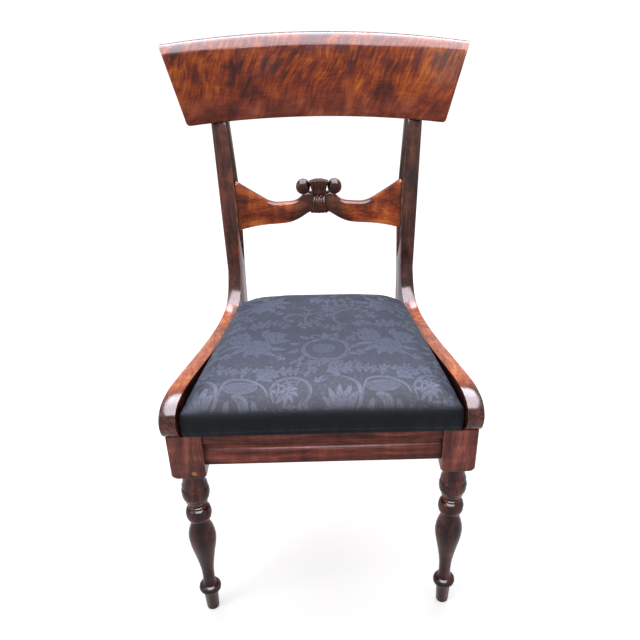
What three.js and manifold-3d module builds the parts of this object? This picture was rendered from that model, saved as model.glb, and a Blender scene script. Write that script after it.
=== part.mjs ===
// Mahogany dining chair with a curved crest rail, a carved cross rail, sabre back legs,
// turned front legs and a drop-in upholstered seat.
// Millimetres, +Z up. The chair faces -Y, and left and right are as seen from its front.
import * as THREE from 'three';
import { mergeVertices } from 'three/addons/utils/BufferGeometryUtils.js';
import Module from 'manifold-3d';

const wasm = await Module();
wasm.setup();

// Fits between pieces
const fit_gap = 0.3; // glued or seated faces that touch
const cut_overrun = 4; // how far a cutter runs past the face that it opens
const seat_play = 1.5; // between the drop-in seat and the side rails

// Seat plan and levels
const front_width = 472; // over the front leg blocks
const back_width = 358; // over the back posts at the seat
const seat_depth = 397; // face of the leg blocks to the front of the back posts
const seat_level = 408; // top of the front rail and of the ledges that carry the seat
const rail_depth = 58; // upright depth of the seat rails

// Front legs
const block_side = 53;
const block_height = 81;
const shoulder_height = 8; // rounded corners at the foot of the block
const turning_radius = 23.2; // fattest place of the turning
const peg_radius = 4;
const peg_length = 20;
const peg_height = 9; // above the foot of the block
const dowel_radius = 5;
const dowel_depth = 24; // into the block, and again into the side rail

// Joints of the rails
const tenon_thickness = 9;
const tenon_length = 25;
const tenon_shoulder = 8; // wood above and below a seat rail's tenon
const tenon_setback = 7; // face of the front rail to its tenon

// Front rail moulding
const front_rail_thickness = 25;
const front_rail_setback = 3; // behind the face of the blocks
const fillet_height = 16;
const quirk_depth = 2;
const cove_height = 18;
const cove_depth = 6;

// Side rails
const side_thickness = 24; // of the boards that make the sides
const ledge_width = 11;
const scroll_reach = 15; // the nose stands this far in front of the block
const scroll_rise = 59; // top of the nose above the block
const knee_reach = 120; // the back post's knee comes this far forward to the side rail

// Back rail
const back_rail_thickness = 24;
const back_rail_overlap = 12; // how far it reaches under the back of the seat

// Back posts
const post_depth_at_seat = 44;
const post_depth_at_top = 24;
const post_depth_at_foot = 28;
const post_thickness_at_top = 21.6;
const post_lean_share = 0.13; // backward lean of the front line at the seat
const post_bend_radius = 3850;
const sabre_sweep = 131; // how far the foot is swept back from that lean
const knee_drop = 54; // the knee runs into the leg this far below the rail
const flare_start = 185; // above the seat, where the posts begin to spread
const flare_at_crest = 14.8;
const post_stop = 28; // the post ends this far below the top of the crest rail

// Crest rail
const crest_bottom = 757;
const crest_height = 129;
const crest_crown = 7; // the top edge is this much higher in the middle
const crest_bottom_width = 453;
const crest_top_width = 520;
const crest_radius = 455; // plan curve of the front face
const crest_thickness = 20;
const crest_roll_height = 20;
const crest_roll_depth = 18;
const crest_top_thickness = 25;
const crest_edge = 3;
const crest_corner = 7; // rounding of the two lower corners
const crest_housing = 10; // how far the back of the crest is let into the posts
const housing_tongue_width = 14;
const housing_tongue_depth = 7;

// Carved cross rail
const cross_bottom = 563; // lowest point of the wings, at the posts
const cross_height = 87.5; // of the wings at the posts
const cross_thickness = 15;
const cross_radius = 520;
const cross_setback = 6; // behind the front of the posts
const cross_edge = 3;
const cross_tenon_length = 12;
const cross_tenon_thickness = 8;
const cross_tenon_shoulder = 12;
const ear_radius = 13.6;
const ear_spread = 29.6; // middle of an ear from the centre line
const ear_height = 70; // middle of an ear above the foot of the wings
const sheaf_foot = 26; // foot of the sheaf above the foot of the wings
const sheaf_height = 55.5;
const sheaf_top_width = 36;
const sheaf_waist_width = 24;
const sheaf_foot_width = 33;
const sheaf_crown = 3; // its top edge is this much higher in the middle
const sheaf_relief = 9; // the sheaf stands this proud of the wings
const reed_depth = 2.4;
const reed_count = 5;
const pearl_radius = 2.6;

// Corner blocks and their screws
const corner_block_reach = 46; // along each rail
const corner_block_height = 40;
const corner_block_drop = 8; // below the seat level
const screw_radius = 2.2;
const screw_head_radius = 4.2;
const screw_head_height = 2.6;
const screw_bite = 12; // into the rail

// Drop-in seat
const seat_front_lap = 2.5; // the cushion stands this far in front of the blocks
const seat_back_gap = 9; // between the cushion and the back posts
const cover_thickness = 1.6;
const cover_hem = 24; // turned under the seat frame
const cushion_side_height = 50;
const cushion_crown = 17; // crown above the top of the side
const cushion_front_radius = 5; // plan radius of the front corners
const cushion_back_radius = 44;
const cushion_bulge = 12; // the front roll swells this far forward
const cushion_draw = 2; // the sides pull in between the corners
const cushion_firm_height = 9; // this much above the seat frame doesn't settle
const cushion_back_fall = 0.46; // share by which the stuffing is lower at the back
const cushion_side_fall = 0.56; // share by which its two sides fall away towards the back
const cushion_corner_fall = 0.12; // share by which it is lower in the corners
const seat_frame_width = 45;
const seat_frame_height = 22;
const web_width = 50;
const web_thickness = 1.2;
const web_lap = 22; // tacked on top of the seat frame
const hessian_thickness = 0.8;

// Spacing of the facets
const curve_steps = 44;
const post_steps = 26;
const crest_steps = 28;
const cross_steps = 44;
const turning_sides = 18;
const round_sides = 14;

// Levels and lines that follow from the sizes
const rail_bottom = seat_level - rail_depth;
const block_bottom = seat_level - block_height;
const front_half = front_width / 2;
const back_half = back_width / 2;
const plan_slope = (back_half - front_half) / seat_depth;
const leg_axis_x = front_half - block_side / 2;
const leg_axis_y = block_side / 2;
const knee_joint = seat_depth - knee_reach;
const post_top = crest_bottom + crest_height - post_stop;
const flare_from = seat_level + flare_start;

const mahogany = 0x6b3524;
const dark_mahogany = 0x4a241b;
const bright_mahogany = 0x8a4a2c;
const beech = 0xb08a5c;
const worn_peg = 0xa86a44;
const jute = 0xa58a62;
const steel = 0x8c8c8c;
const damask = 0x2c323d;
const wadding = 0xcfc6b4;

const chair = new THREE.Group();
const frame = new THREE.Group();
const drop_in_seat = new THREE.Group();
chair.add(frame);
chair.add(drop_in_seat);

// Closed solids and cuts

function solidOf(geometry) {
  const plain = geometry.clone();
  plain.deleteAttribute('normal');
  plain.deleteAttribute('uv');
  const merged = mergeVertices(plain);
  const mesh = new wasm.Mesh({
    numProp: 3,
    vertProperties: Float32Array.from(merged.attributes.position.array),
    triVerts: Uint32Array.from(merged.index.array),
  });
  return new wasm.Manifold(mesh);
}

function geometryOf(solid) {
  const mesh = solid.getMesh();
  const geometry = new THREE.BufferGeometry();
  geometry.setAttribute('position', new THREE.BufferAttribute(mesh.vertProperties, 3));
  geometry.setIndex(new THREE.BufferAttribute(mesh.triVerts, 1));
  geometry.computeVertexNormals();
  return geometry;
}

function join(first, ...others) {
  let solid = solidOf(first);
  for (const other of others) {
    solid = solid.add(solidOf(other));
  }
  return geometryOf(solid);
}

function cut(body, ...cutters) {
  let solid = solidOf(body);
  for (const cutter of cutters) {
    solid = solid.subtract(solidOf(cutter));
  }
  return geometryOf(solid);
}

function common(first, second) {
  return geometryOf(solidOf(first).intersect(solidOf(second)));
}

// The other hand of a piece, across the middle of the chair.
function mirrored(geometry) {
  const other = mergeVertices(geometry.clone());
  other.scale(-1, 1, 1);
  const index = other.index.array;
  for (let i = 0; i < index.length; i += 3) {
    const second = index[i + 1];
    index[i + 1] = index[i + 2];
    index[i + 2] = second;
  }
  other.computeVertexNormals();
  return other;
}

function boxBetween(low, high) {
  const box = new THREE.BoxGeometry(high.x - low.x, high.y - low.y, high.z - low.z);
  box.translate((low.x + high.x) / 2, (low.y + high.y) / 2, (low.z + high.z) / 2);
  return box;
}

function point(x, y, z) {
  return new THREE.Vector3(x, y, z);
}

// Moves each point of a geometry by a rule.
function reshaped(geometry, rule) {
  const moved = geometry.clone();
  const places = moved.attributes.position;
  const place = new THREE.Vector3();
  for (let i = 0; i < places.count; i++) {
    rule(place.fromBufferAttribute(places, i));
    places.setXYZ(i, place.x, place.y, place.z);
  }
  return moved;
}

function ringNormal(ring) {
  const normal = new THREE.Vector3();
  ring.forEach((here, i) => {
    const next = ring[(i + 1) % ring.length];
    normal.x += (here.y - next.y) * (here.z + next.z);
    normal.y += (here.z - next.z) * (here.x + next.x);
    normal.z += (here.x - next.x) * (here.y + next.y);
  });
  return normal.normalize();
}

// Triangles that close a ring, facing along its normal or against it.
function endTriangles(ring, start, along) {
  const normal = ringNormal(ring);
  const side = Math.abs(normal.z) > Math.abs(normal.x) ? point(1, 0, 0) : point(0, 0, 1);
  const across = new THREE.Vector3().crossVectors(side, normal).normalize();
  const up = new THREE.Vector3().crossVectors(normal, across);
  const flat = ring.map((place) => new THREE.Vector2(place.dot(across), place.dot(up)));
  const corner = new THREE.Vector3();
  const edge = new THREE.Vector3();
  const triangles = [];
  for (const [a, b, c] of THREE.ShapeUtils.triangulateShape(flat, [])) {
    corner.subVectors(ring[b], ring[a]).cross(edge.subVectors(ring[c], ring[a]));
    const same = corner.dot(normal) > 0;
    triangles.push(...(same === along ? [a, b, c] : [a, c, b]).map((i) => i + start));
  }
  return triangles;
}

// A closed solid through rings of equal count, from the first ring to the last.
function solidThroughRings(rings) {
  const count = rings[0].length;
  const index = [];
  for (let r = 0; r < rings.length - 1; r++) {
    for (let i = 0; i < count; i++) {
      const a = r * count + i;
      const b = r * count + ((i + 1) % count);
      index.push(a, b, b + count, a, b + count, a + count);
    }
  }
  index.push(...endTriangles(rings[0], 0, false));
  index.push(...endTriangles(rings.at(-1), (rings.length - 1) * count, true));
  const places = rings.flat();
  let volume = 0;
  for (let i = 0; i < index.length; i += 3) {
    const [a, b, c] = [places[index[i]], places[index[i + 1]], places[index[i + 2]]];
    volume += a.dot(new THREE.Vector3().crossVectors(b, c));
  }
  if (volume < 0) {
    index.reverse();
  }
  const geometry = new THREE.BufferGeometry().setFromPoints(places);
  geometry.setIndex(index);
  geometry.computeVertexNormals();
  return geometry;
}

// A board whose side outline lies in the YZ plane, from x = -width to x = 0.
function boardFromOutline(outline, width) {
  const shape = new THREE.Shape(outline);
  const board = new THREE.ExtrudeGeometry(shape, { depth: width, bevelEnabled: false });
  const turn = new THREE.Matrix4().makeBasis(point(0, 1, 0), point(0, 0, 1), point(1, 0, 0));
  board.applyMatrix4(turn);
  board.translate(-width, 0, 0);
  return board;
}

// A plate whose outline lies in the XY plane, between two heights.
function plateFromOutline(outline, low, high, holes = []) {
  const shape = new THREE.Shape(outline);
  shape.holes = holes.map((hole) => new THREE.Path(hole));
  const plate = new THREE.ExtrudeGeometry(shape, { depth: high - low, bevelEnabled: false });
  plate.translate(0, 0, low);
  return plate;
}

function addPiece(group, name, geometry, color, roughness, metalness = 0) {
  const material = new THREE.MeshStandardMaterial({ color, roughness, metalness });
  const mesh = new THREE.Mesh(geometry, material);
  mesh.name = name;
  group.add(mesh);
}

function addPair(group, name, right, color, roughness, metalness = 0) {
  addPiece(group, `right_${name}`, right, color, roughness, metalness);
  addPiece(group, `left_${name}`, mirrored(right), color, roughness, metalness);
}

// Lines that several pieces share

// Outer face of the side rails, which draw together towards the back.
function planOuter(y) {
  return front_half + plan_slope * y;
}

function followPlan(geometry) {
  return reshaped(geometry, (place) => {
    place.x += planOuter(place.y);
  });
}

function postFront(z) {
  const rise = z - seat_level;
  const lean = seat_depth + post_lean_share * rise;
  if (rise > 0) {
    return lean + (rise * rise) / (2 * post_bend_radius);
  }
  return lean + sabre_sweep * Math.pow(rise / seat_level, 2);
}

// The posts stand in the plane of the side rails and spread out under the crest.
function postFlare(z) {
  const spread = Math.max((z - flare_from) / (crest_bottom - flare_from), 0);
  return flare_at_crest * Math.pow(spread, 1.2);
}

function postOuter(z) {
  return planOuter(postFront(z)) + postFlare(z);
}

// The posts grow thinner from the seat to the crest.
function postThickness(z) {
  const share = Math.max((z - seat_level) / (post_top - seat_level), 0);
  return side_thickness + (post_thickness_at_top - side_thickness) * Math.min(share, 1);
}

function postDepth(z) {
  if (z < seat_level) {
    const share = Math.pow(z / seat_level, 1.3);
    return post_depth_at_foot + (post_depth_at_seat - post_depth_at_foot) * share;
  }
  const share = Math.pow((z - seat_level) / (post_top - seat_level), 0.6);
  return post_depth_at_seat + (post_depth_at_top - post_depth_at_seat) * share;
}

// Top line of the seat rail, from the foot of the nose to the front of the back post.
// Places are shares of the scroll's reach and of the seat's depth, heights of the scroll's rise.
const nose_shares = [[-0.07, 0.005], [0.67, 0.2], [1, 0.5], [0.75, 0.75], [-0.05, 0.93], [-1.3, 0.995]];
const top_line_shares = [
  [0.113, 1], [0.227, 0.88], [0.353, 0.73], [0.479, 0.576], [0.605, 0.44],
  [0.73, 0.34], [0.831, 0.31], [0.912, 0.37], [0.967, 0.55], [1.005, 0.915],
];
const top_line_end = 82; // the sweep runs out on the post this far above the seat

const topLine = new THREE.SplineCurve([
  ...nose_shares.map(([reach, rise]) => (
    new THREE.Vector2(-reach * scroll_reach, seat_level + fit_gap + rise * scroll_rise))),
  ...top_line_shares.map(([depth, rise]) => (
    new THREE.Vector2(depth * seat_depth, seat_level + rise * scroll_rise))),
  new THREE.Vector2(postFront(seat_level + top_line_end), seat_level + top_line_end),
]).getPoints(curve_steps);

function topLineAt(y) {
  const after = topLine.findIndex((place, i) => i > 0 && place.y > seat_level + fit_gap
    && topLine[i - 1].x <= y && place.x > y);
  const from = topLine[after - 1];
  const to = topLine[after];
  return from.y + ((to.y - from.y) * (y - from.x)) / (to.x - from.x);
}

// Tenons lie in the thickness of a side rail and follow its line in plan.
function sideTenon(from, to, low, high, grow) {
  const middle = -side_thickness / 2;
  const half = tenon_thickness / 2 + grow;
  return followPlan(boxBetween(
    point(middle - half, from, low - grow),
    point(middle + half, to, high + grow),
  ));
}

// Ledge inside the side rails and the knees, which carries the seat.
function ledge(from, to) {
  const inner = -side_thickness - ledge_width;
  const reach = -side_thickness + cut_overrun;
  return followPlan(boxBetween(point(inner, from, rail_bottom), point(reach, to, seat_level)));
}

const rail_tenon_low = rail_bottom + tenon_shoulder;
const rail_tenon_high = seat_level - tenon_shoulder;
const knee_tenon_high = topLineAt(knee_joint) - 2 * tenon_shoulder;

// Side rail: nose over the leg block, long falling sweep, tenons at both ends.
function makeSideRail() {
  const start = block_side + fit_gap;
  const end = knee_joint - fit_gap / 2;
  const outline = topLine.filter((place, i) => place.x < end && i < topLine.length - 1);
  outline.push(new THREE.Vector2(end, topLineAt(end)));
  outline.push(new THREE.Vector2(end, rail_bottom));
  outline.push(new THREE.Vector2(start, rail_bottom));
  outline.push(new THREE.Vector2(start, seat_level + fit_gap));
  const board = followPlan(boardFromOutline(outline, side_thickness));
  const front_tenon = sideTenon(
    start - tenon_length, start + cut_overrun, rail_tenon_low, rail_tenon_high, 0);
  const back_tenon = sideTenon(
    end - cut_overrun, end + tenon_length, rail_tenon_low, knee_tenon_high, 0);
  return cut(
    join(board, ledge(start, end), front_tenon, back_tenon),
    makeDowel(fit_gap),
  );
}

// Dowel between the leg block and the nose of the side rail.
function makeDowel(grow) {
  const y = (block_side - tenon_length) / 2;
  const length = 2 * dowel_depth + 2 * grow;
  const dowel = new THREE.CylinderGeometry(
    dowel_radius + grow, dowel_radius + grow, length, round_sides);
  dowel.rotateX(Math.PI / 2);
  dowel.translate(planOuter(y) - side_thickness / 2, y, seat_level);
  return dowel;
}

// Back post: stile, knee and sabre leg in one board. The knee comes forward at seat height
// and takes the side rail's tenon.
// Underside of the knee as [share of its reach, share of its drop].
const knee_foot_shares = [[0, 0], [0.4, 0.05], [0.7, 0.25], [0.89, 0.6]];
const knee_foot_level = rail_bottom - knee_drop;

function frontLine(low, high, steps) {
  return [...Array(steps + 1).keys()].map((i) => {
    const z = low + ((high - low) * i) / steps;
    return new THREE.Vector2(postFront(z), z);
  });
}

function makePost() {
  const start = knee_joint + fit_gap / 2;
  const back = frontLine(0, post_top, post_steps).map((place) => (
    new THREE.Vector2(place.x + postDepth(place.y), place.y)));
  const stile = frontLine(topLine.at(-1).y, post_top, post_steps / 2);
  const knee_top = topLine.filter((place) => place.x > start).slice(0, -1);
  const knee_foot = new THREE.SplineCurve([
    ...knee_foot_shares.map(([reach, drop]) => (
      new THREE.Vector2(start + reach * knee_reach, rail_bottom - drop * knee_drop))),
    new THREE.Vector2(postFront(knee_foot_level), knee_foot_level),
  ]).getPoints(round_sides);
  const leg = frontLine(0, knee_foot_level, post_steps / 2).slice(0, -1);
  const outline = [
    ...back,
    ...stile.reverse(),
    ...knee_top.reverse(),
    new THREE.Vector2(start, topLineAt(start)),
    ...knee_foot,
    ...leg.reverse(),
  ];
  return reshaped(boardFromOutline(outline, side_thickness), (place) => {
    const thinned = (place.x * postThickness(place.z)) / side_thickness;
    place.x = planOuter(place.y) + postFlare(place.z) + thinned;
  });
}

// Back seat rail between the posts, under the back edge of the drop-in seat.
const seat_back = seat_depth - seat_back_gap;
const back_rail_front = seat_back - back_rail_overlap;
const back_rail_back = back_rail_front + back_rail_thickness;

function backRailEnd(y) {
  return planOuter(y) - side_thickness;
}

function makeBackRail() {
  const outline = [
    new THREE.Vector2(backRailEnd(back_rail_front) - fit_gap, back_rail_front),
    new THREE.Vector2(backRailEnd(back_rail_back) - fit_gap, back_rail_back),
    new THREE.Vector2(-backRailEnd(back_rail_back) + fit_gap, back_rail_back),
    new THREE.Vector2(-backRailEnd(back_rail_front) + fit_gap, back_rail_front),
  ];
  return join(plateFromOutline(outline, rail_bottom, seat_level), makeBackTenon(0));
}

function makeBackTenon(grow) {
  const middle = (back_rail_front + back_rail_back) / 2;
  const reach = planOuter(back_rail_back) - tenon_shoulder + grow;
  const half = tenon_thickness / 2 + grow;
  return boxBetween(
    point(-reach, middle - half, rail_tenon_low - grow),
    point(reach, middle + half, rail_tenon_high + grow),
  );
}

// Front rail between the blocks: fillet, quirk, cove and flat, with a tenon at each end.
const front_rail_half = front_half - block_side - fit_gap;
const front_rail_back = front_rail_setback + front_rail_thickness;

function makeFrontRail() {
  const cove_top = seat_level - fillet_height;
  const cove_bottom = cove_top - cove_height;
  const flat_face = front_rail_setback + quirk_depth;
  const outline = [
    new THREE.Vector2(front_rail_back, rail_bottom),
    new THREE.Vector2(front_rail_back, seat_level),
    new THREE.Vector2(front_rail_setback, seat_level),
    new THREE.Vector2(front_rail_setback, cove_top),
    new THREE.Vector2(flat_face, cove_top),
  ];
  const steps = round_sides / 2;
  for (let i = 0; i <= steps; i++) {
    const angle = (Math.PI * i) / steps;
    const y = flat_face + cove_depth * Math.sin(angle);
    const z = (cove_top + cove_bottom + (cove_height - quirk_depth) * Math.cos(angle)) / 2;
    outline.push(new THREE.Vector2(y, z));
  }
  outline.push(new THREE.Vector2(flat_face, rail_bottom));
  const board = boardFromOutline(outline, 2 * front_rail_half);
  board.translate(front_rail_half, 0, 0);
  return join(board, makeFrontTenon(0));
}

function makeFrontTenon(grow) {
  const reach = front_rail_half + tenon_length + grow;
  const from = front_rail_setback + tenon_setback;
  return boxBetween(
    point(-reach, from - grow, rail_tenon_low - grow),
    point(reach, from + tenon_thickness + grow, rail_tenon_high + grow),
  );
}

// Front leg: square block and turning in one piece of wood.
// Heights are shares of the turned length, radii are shares of the fattest radius.
const foot_peg_shares = [[0, 0.45], [0.006, 0.475], [0.134, 0.55]];
const vase_shares = [
  [0.185, 0.54], [0.203, 0.474], [0.23, 0.444], [0.275, 0.457], [0.315, 0.496],
  [0.367, 0.603], [0.424, 0.741], [0.48, 0.905], [0.535, 1], [0.581, 0.948],
  [0.612, 0.823], [0.633, 0.711], [0.65, 0.62], [0.662, 0.598],
];
const neck_shares = [
  [0.889, 0.83], [0.893, 0.9], [0.9, 0.905], [0.915, 0.82], [0.94, 0.75], [0.975, 0.72],
];
// Each bead is [foot, top, radius at its foot, fattest radius, radius at its top].
const bead_shares = [
  [0.134, 0.185, 0.55, 0.84, 0.54],
  [0.664, 0.752, 0.6, 0.927, 0.629],
  [0.757, 0.769, 0.629, 0.71, 0.629],
  [0.778, 0.812, 0.707, 0.79, 0.83],
  [0.812, 0.885, 0.83, 0.985, 0.86],
];

function beadPoints([low, high, foot, fat, top], steps) {
  const points = [];
  for (let i = 0; i <= steps; i++) {
    const share = i / steps;
    const base = foot + (top - foot) * share;
    const bulge = (fat - (foot + top) / 2) * Math.sin(Math.PI * share);
    points.push([low + (high - low) * (1 - Math.cos(Math.PI * share)) / 2, base + bulge]);
  }
  return points;
}

function turningProfile() {
  const vase = new THREE.SplineCurve(vase_shares.map(([h, r]) => new THREE.Vector2(r, h)));
  const [ring, bulb, reel, lower, main] = bead_shares;
  const shares = [
    ...foot_peg_shares,
    ...beadPoints(ring, 6).slice(1),
    ...vase.getPoints(16).slice(1).map((place) => [place.y, place.x]),
    ...beadPoints(bulb, 7).slice(1),
    ...beadPoints(reel, 3),
    ...beadPoints(lower, 2),
    ...beadPoints(main, 6).slice(1),
    ...neck_shares,
  ];
  const profile = shares.map(([height, radius]) => (
    new THREE.Vector2(radius * turning_radius, height * block_bottom)));
  const buried = block_bottom + shoulder_height;
  profile.push(new THREE.Vector2(turning_radius, block_bottom + fit_gap));
  profile.push(new THREE.Vector2(turning_radius, buried));
  return [new THREE.Vector2(0, 0), ...profile, new THREE.Vector2(0, buried)];
}

// Radii are shares of half the block's side, heights are shares of the rounded shoulder.
const shoulder_shares = [[0, 0], [0, 1.2], [0.15, 1.3], [0.5, 1.38], [1, 1.43]];

function lathe(profile, sides) {
  const turned = new THREE.LatheGeometry(profile, sides);
  turned.rotateX(Math.PI / 2);
  return turned;
}

function makeFrontLeg() {
  const half = block_side / 2;
  const block = boxBetween(point(-half, -half, block_bottom), point(half, half, seat_level));
  const rounding = shoulder_shares.map(([height, radius], i) => new THREE.Vector2(
    i === 0 ? 0 : radius * half, block_bottom + height * shoulder_height));
  rounding.push(new THREE.Vector2(2 * half, block_bottom + shoulder_height));
  rounding.push(new THREE.Vector2(2 * half, seat_level + cut_overrun));
  rounding.push(new THREE.Vector2(0, seat_level + cut_overrun));
  const head = common(block, lathe(rounding, 2 * turning_sides));
  const leg = join(head, lathe(turningProfile(), turning_sides));
  leg.translate(leg_axis_x, leg_axis_y, 0);
  const start = block_side + fit_gap;
  return cut(
    leg,
    makeFrontTenon(fit_gap),
    sideTenon(
      start - tenon_length - fit_gap, start + cut_overrun,
      rail_tenon_low, rail_tenon_high, fit_gap),
    makeDowel(fit_gap),
  );
}

// Round peg in the face of the left block, beside the front rail.
function makePeg(grow, proud) {
  const length = peg_length + grow + proud;
  const peg = new THREE.CylinderGeometry(peg_radius + grow, peg_radius + grow, length, round_sides);
  const beside_rail = -front_half + (2 * block_side) / 3;
  peg.translate(beside_rail, length / 2 - proud, block_bottom + peg_height);
  return peg;
}

// Crest rail: a tablet curved in plan, flared towards its top, with a rolled upper edge.
const post_middle = postOuter(crest_bottom) - postThickness(crest_bottom) / 2;
const crest_lean_share = post_lean_share + (crest_bottom - seat_level) / post_bend_radius;
const crest_flare_power = 1.6;

function sagitta(radius, x) {
  return radius - Math.sqrt(Math.max(radius * radius - x * x, 0));
}

const crest_middle = postFront(crest_bottom) + crest_housing - crest_thickness
  + sagitta(crest_radius, post_middle);

function crestHalfWidth(z) {
  const share = Math.min(Math.max((z - crest_bottom) / crest_height, 0), 1);
  const flare = (crest_top_width - crest_bottom_width) / 2;
  return crest_bottom_width / 2 + flare * Math.pow(share, crest_flare_power);
}

function crestFront(x, z) {
  return crest_middle - sagitta(crest_radius, x) + crest_lean_share * (z - crest_bottom);
}

// Cross-section of the crest as [depth behind the front face, height above the lower edge].
function crestSection(height) {
  const section = [[crest_edge, 0], [0, crest_edge], [0, (height - crest_roll_height) / 2]];
  const steps = round_sides / 2;
  for (let i = 0; i <= steps; i++) {
    const angle = (Math.PI * i) / (2 * steps);
    section.push([
      crest_roll_depth * (1 - Math.cos(angle)),
      height - crest_roll_height * (1 - Math.sin(angle)),
    ]);
  }
  section.push([crest_top_thickness, height - crest_edge]);
  section.push([crest_top_thickness, height - crest_roll_height / 2]);
  section.push([crest_thickness, height - 2 * crest_roll_height]);
  section.push([crest_thickness, 0]);
  return section;
}

// Stations across the crest as shares of its half width, closer at the rounded corners.
const corner_share = (2 * crest_corner) / crest_bottom_width;
const crest_stations = [...Array(crest_steps + 1).keys()].map((i) => (
  (1 - corner_share) * ((2 * i) / crest_steps - 1)));
for (const place of [0.6, 0.28, 0.07, 0]) {
  crest_stations.push(1 - place * corner_share);
  crest_stations.unshift(place * corner_share - 1);
}

function makeCrest(grow) {
  const rings = [];
  for (const share of crest_stations) {
    const height = crest_height + crest_crown * (1 - share * share);
    const turn = Math.max((Math.abs(share) - 1) / corner_share + 1, 0);
    const lift = crest_corner * (1 - Math.sqrt(1 - turn * turn));
    rings.push(crestSection(height).map(([depth, rise]) => {
      const z = crest_bottom + rise + (rise > crest_edge ? 0 : lift);
      const x = share * (crestHalfWidth(z) + grow);
      const back = depth > crest_edge ? grow : -grow;
      const low = rise > 0 ? 0 : -grow;
      return point(x, crestFront(x, z) + depth + back, z + low);
    }));
  }
  return solidThroughRings(rings);
}

// Tongue on the front of each post, in a housing in the back of the crest.
function makeHousingTongue(grow) {
  const half = housing_tongue_width / 2 + grow;
  const levels = [crest_bottom - cut_overrun, post_top - post_stop + grow];
  const rings = levels.map((z) => {
    const middle = postOuter(z) - postThickness(z) / 2;
    const behind = crestFront(middle, z) + crest_thickness;
    const front = behind - housing_tongue_depth - grow;
    const back = behind + crest_edge;
    return [
      point(middle - half, front, z), point(middle + half, front, z),
      point(middle + half, back, z), point(middle - half, back, z),
    ];
  });
  return solidThroughRings(rings);
}

// Carved cross rail: two wings that sweep from the posts to a bound sheaf with an ear
// on each side.
// Wing outline as [share of the half span, share of the height at the posts].
const wing_top_shares = [
  [0, 0.645], [0.13, 0.7], [0.19, 0.672], [0.235, 0.579], [0.31, 0.507], [0.42, 0.493],
  [0.5, 0.492], [0.56, 0.502], [0.64, 0.55], [0.73, 0.652], [0.88, 0.835], [1, 1],
];
const wing_foot_shares = [
  [0, 0.313], [0.12, 0.275], [0.25, 0.147], [0.37, 0.074], [0.51, 0.057], [0.67, 0.057],
  [0.84, 0.038], [1, 0],
];

function curveThrough(shares) {
  return new THREE.SplineCurve(shares.map(([x, z]) => new THREE.Vector2(x, z)))
    .getPoints(4 * curve_steps);
}

const wingTop = curveThrough(wing_top_shares);
const wingFoot = curveThrough(wing_foot_shares);

function heightOn(curve, share) {
  const after = Math.max(curve.findIndex((place) => place.x >= share), 1);
  const from = curve[after - 1];
  const to = curve[after];
  return from.y + ((to.y - from.y) * (share - from.x)) / (to.x - from.x);
}

const cross_middle_height = cross_bottom + cross_height / 2;
const cross_lean_share = post_lean_share + (cross_middle_height - seat_level) / post_bend_radius;
const cross_half_span = postOuter(cross_middle_height) - postThickness(cross_middle_height);
const cross_middle = postFront(cross_middle_height) + cross_setback
  + sagitta(cross_radius, cross_half_span);

function crossFront(x, z) {
  return cross_middle - sagitta(cross_radius, x) + cross_lean_share * (z - cross_middle_height);
}

function onCrossRail(geometry) {
  return reshaped(geometry, (place) => {
    place.y += crossFront(place.x, place.z);
  });
}

function makeWings() {
  const rings = [];
  for (let i = 0; i <= cross_steps; i++) {
    const share = (2 * i) / cross_steps - 1;
    const low = cross_bottom + cross_height * heightOn(wingFoot, Math.abs(share));
    const high = cross_bottom + cross_height * heightOn(wingTop, Math.abs(share));
    const behind = cross_thickness - cross_edge;
    const section = [
      [0, low + cross_edge], [cross_edge, low], [behind, low], [cross_thickness, low + cross_edge],
      [cross_thickness, high - cross_edge], [behind, high], [cross_edge, high],
      [0, high - cross_edge],
    ];
    rings.push(section.map(([depth, z]) => {
      const y = crossFront(cross_half_span, z) + depth;
      const x = share * (planOuter(y) + postFlare(z) - postThickness(z) - fit_gap);
      return point(x, depth, z);
    }));
  }
  return onCrossRail(solidThroughRings(rings));
}

// A round ear: a thick disc with a softened face.
const ear_profile_shares = [
  [0, -0.14], [0.6, -0.12], [0.88, 0.02], [1, 0.25], [1, 0.7], [0.88, 0.92], [0, 0.95],
];

function makeEar() {
  const profile = ear_profile_shares.map(([radius, depth]) => (
    new THREE.Vector2(radius * ear_radius, depth * cross_thickness)));
  const ear = new THREE.LatheGeometry(profile, turning_sides);
  ear.translate(ear_spread, 0, cross_bottom + ear_height);
  return onCrossRail(ear);
}

// The sheaf: reeds bound at the waist, spread at the top and a little at the foot.
const sheaf_steps = 12;
const sheaf_waist_share = 0.52;

function sheafHalfWidth(share) {
  if (share < sheaf_waist_share) {
    const fall = Math.pow(1 - share / sheaf_waist_share, 1.6);
    return (sheaf_waist_width + (sheaf_foot_width - sheaf_waist_width) * fall) / 2;
  }
  const rise = Math.pow((share - sheaf_waist_share) / (1 - sheaf_waist_share), 1.5);
  return (sheaf_waist_width + (sheaf_top_width - sheaf_waist_width) * rise) / 2;
}

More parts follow.
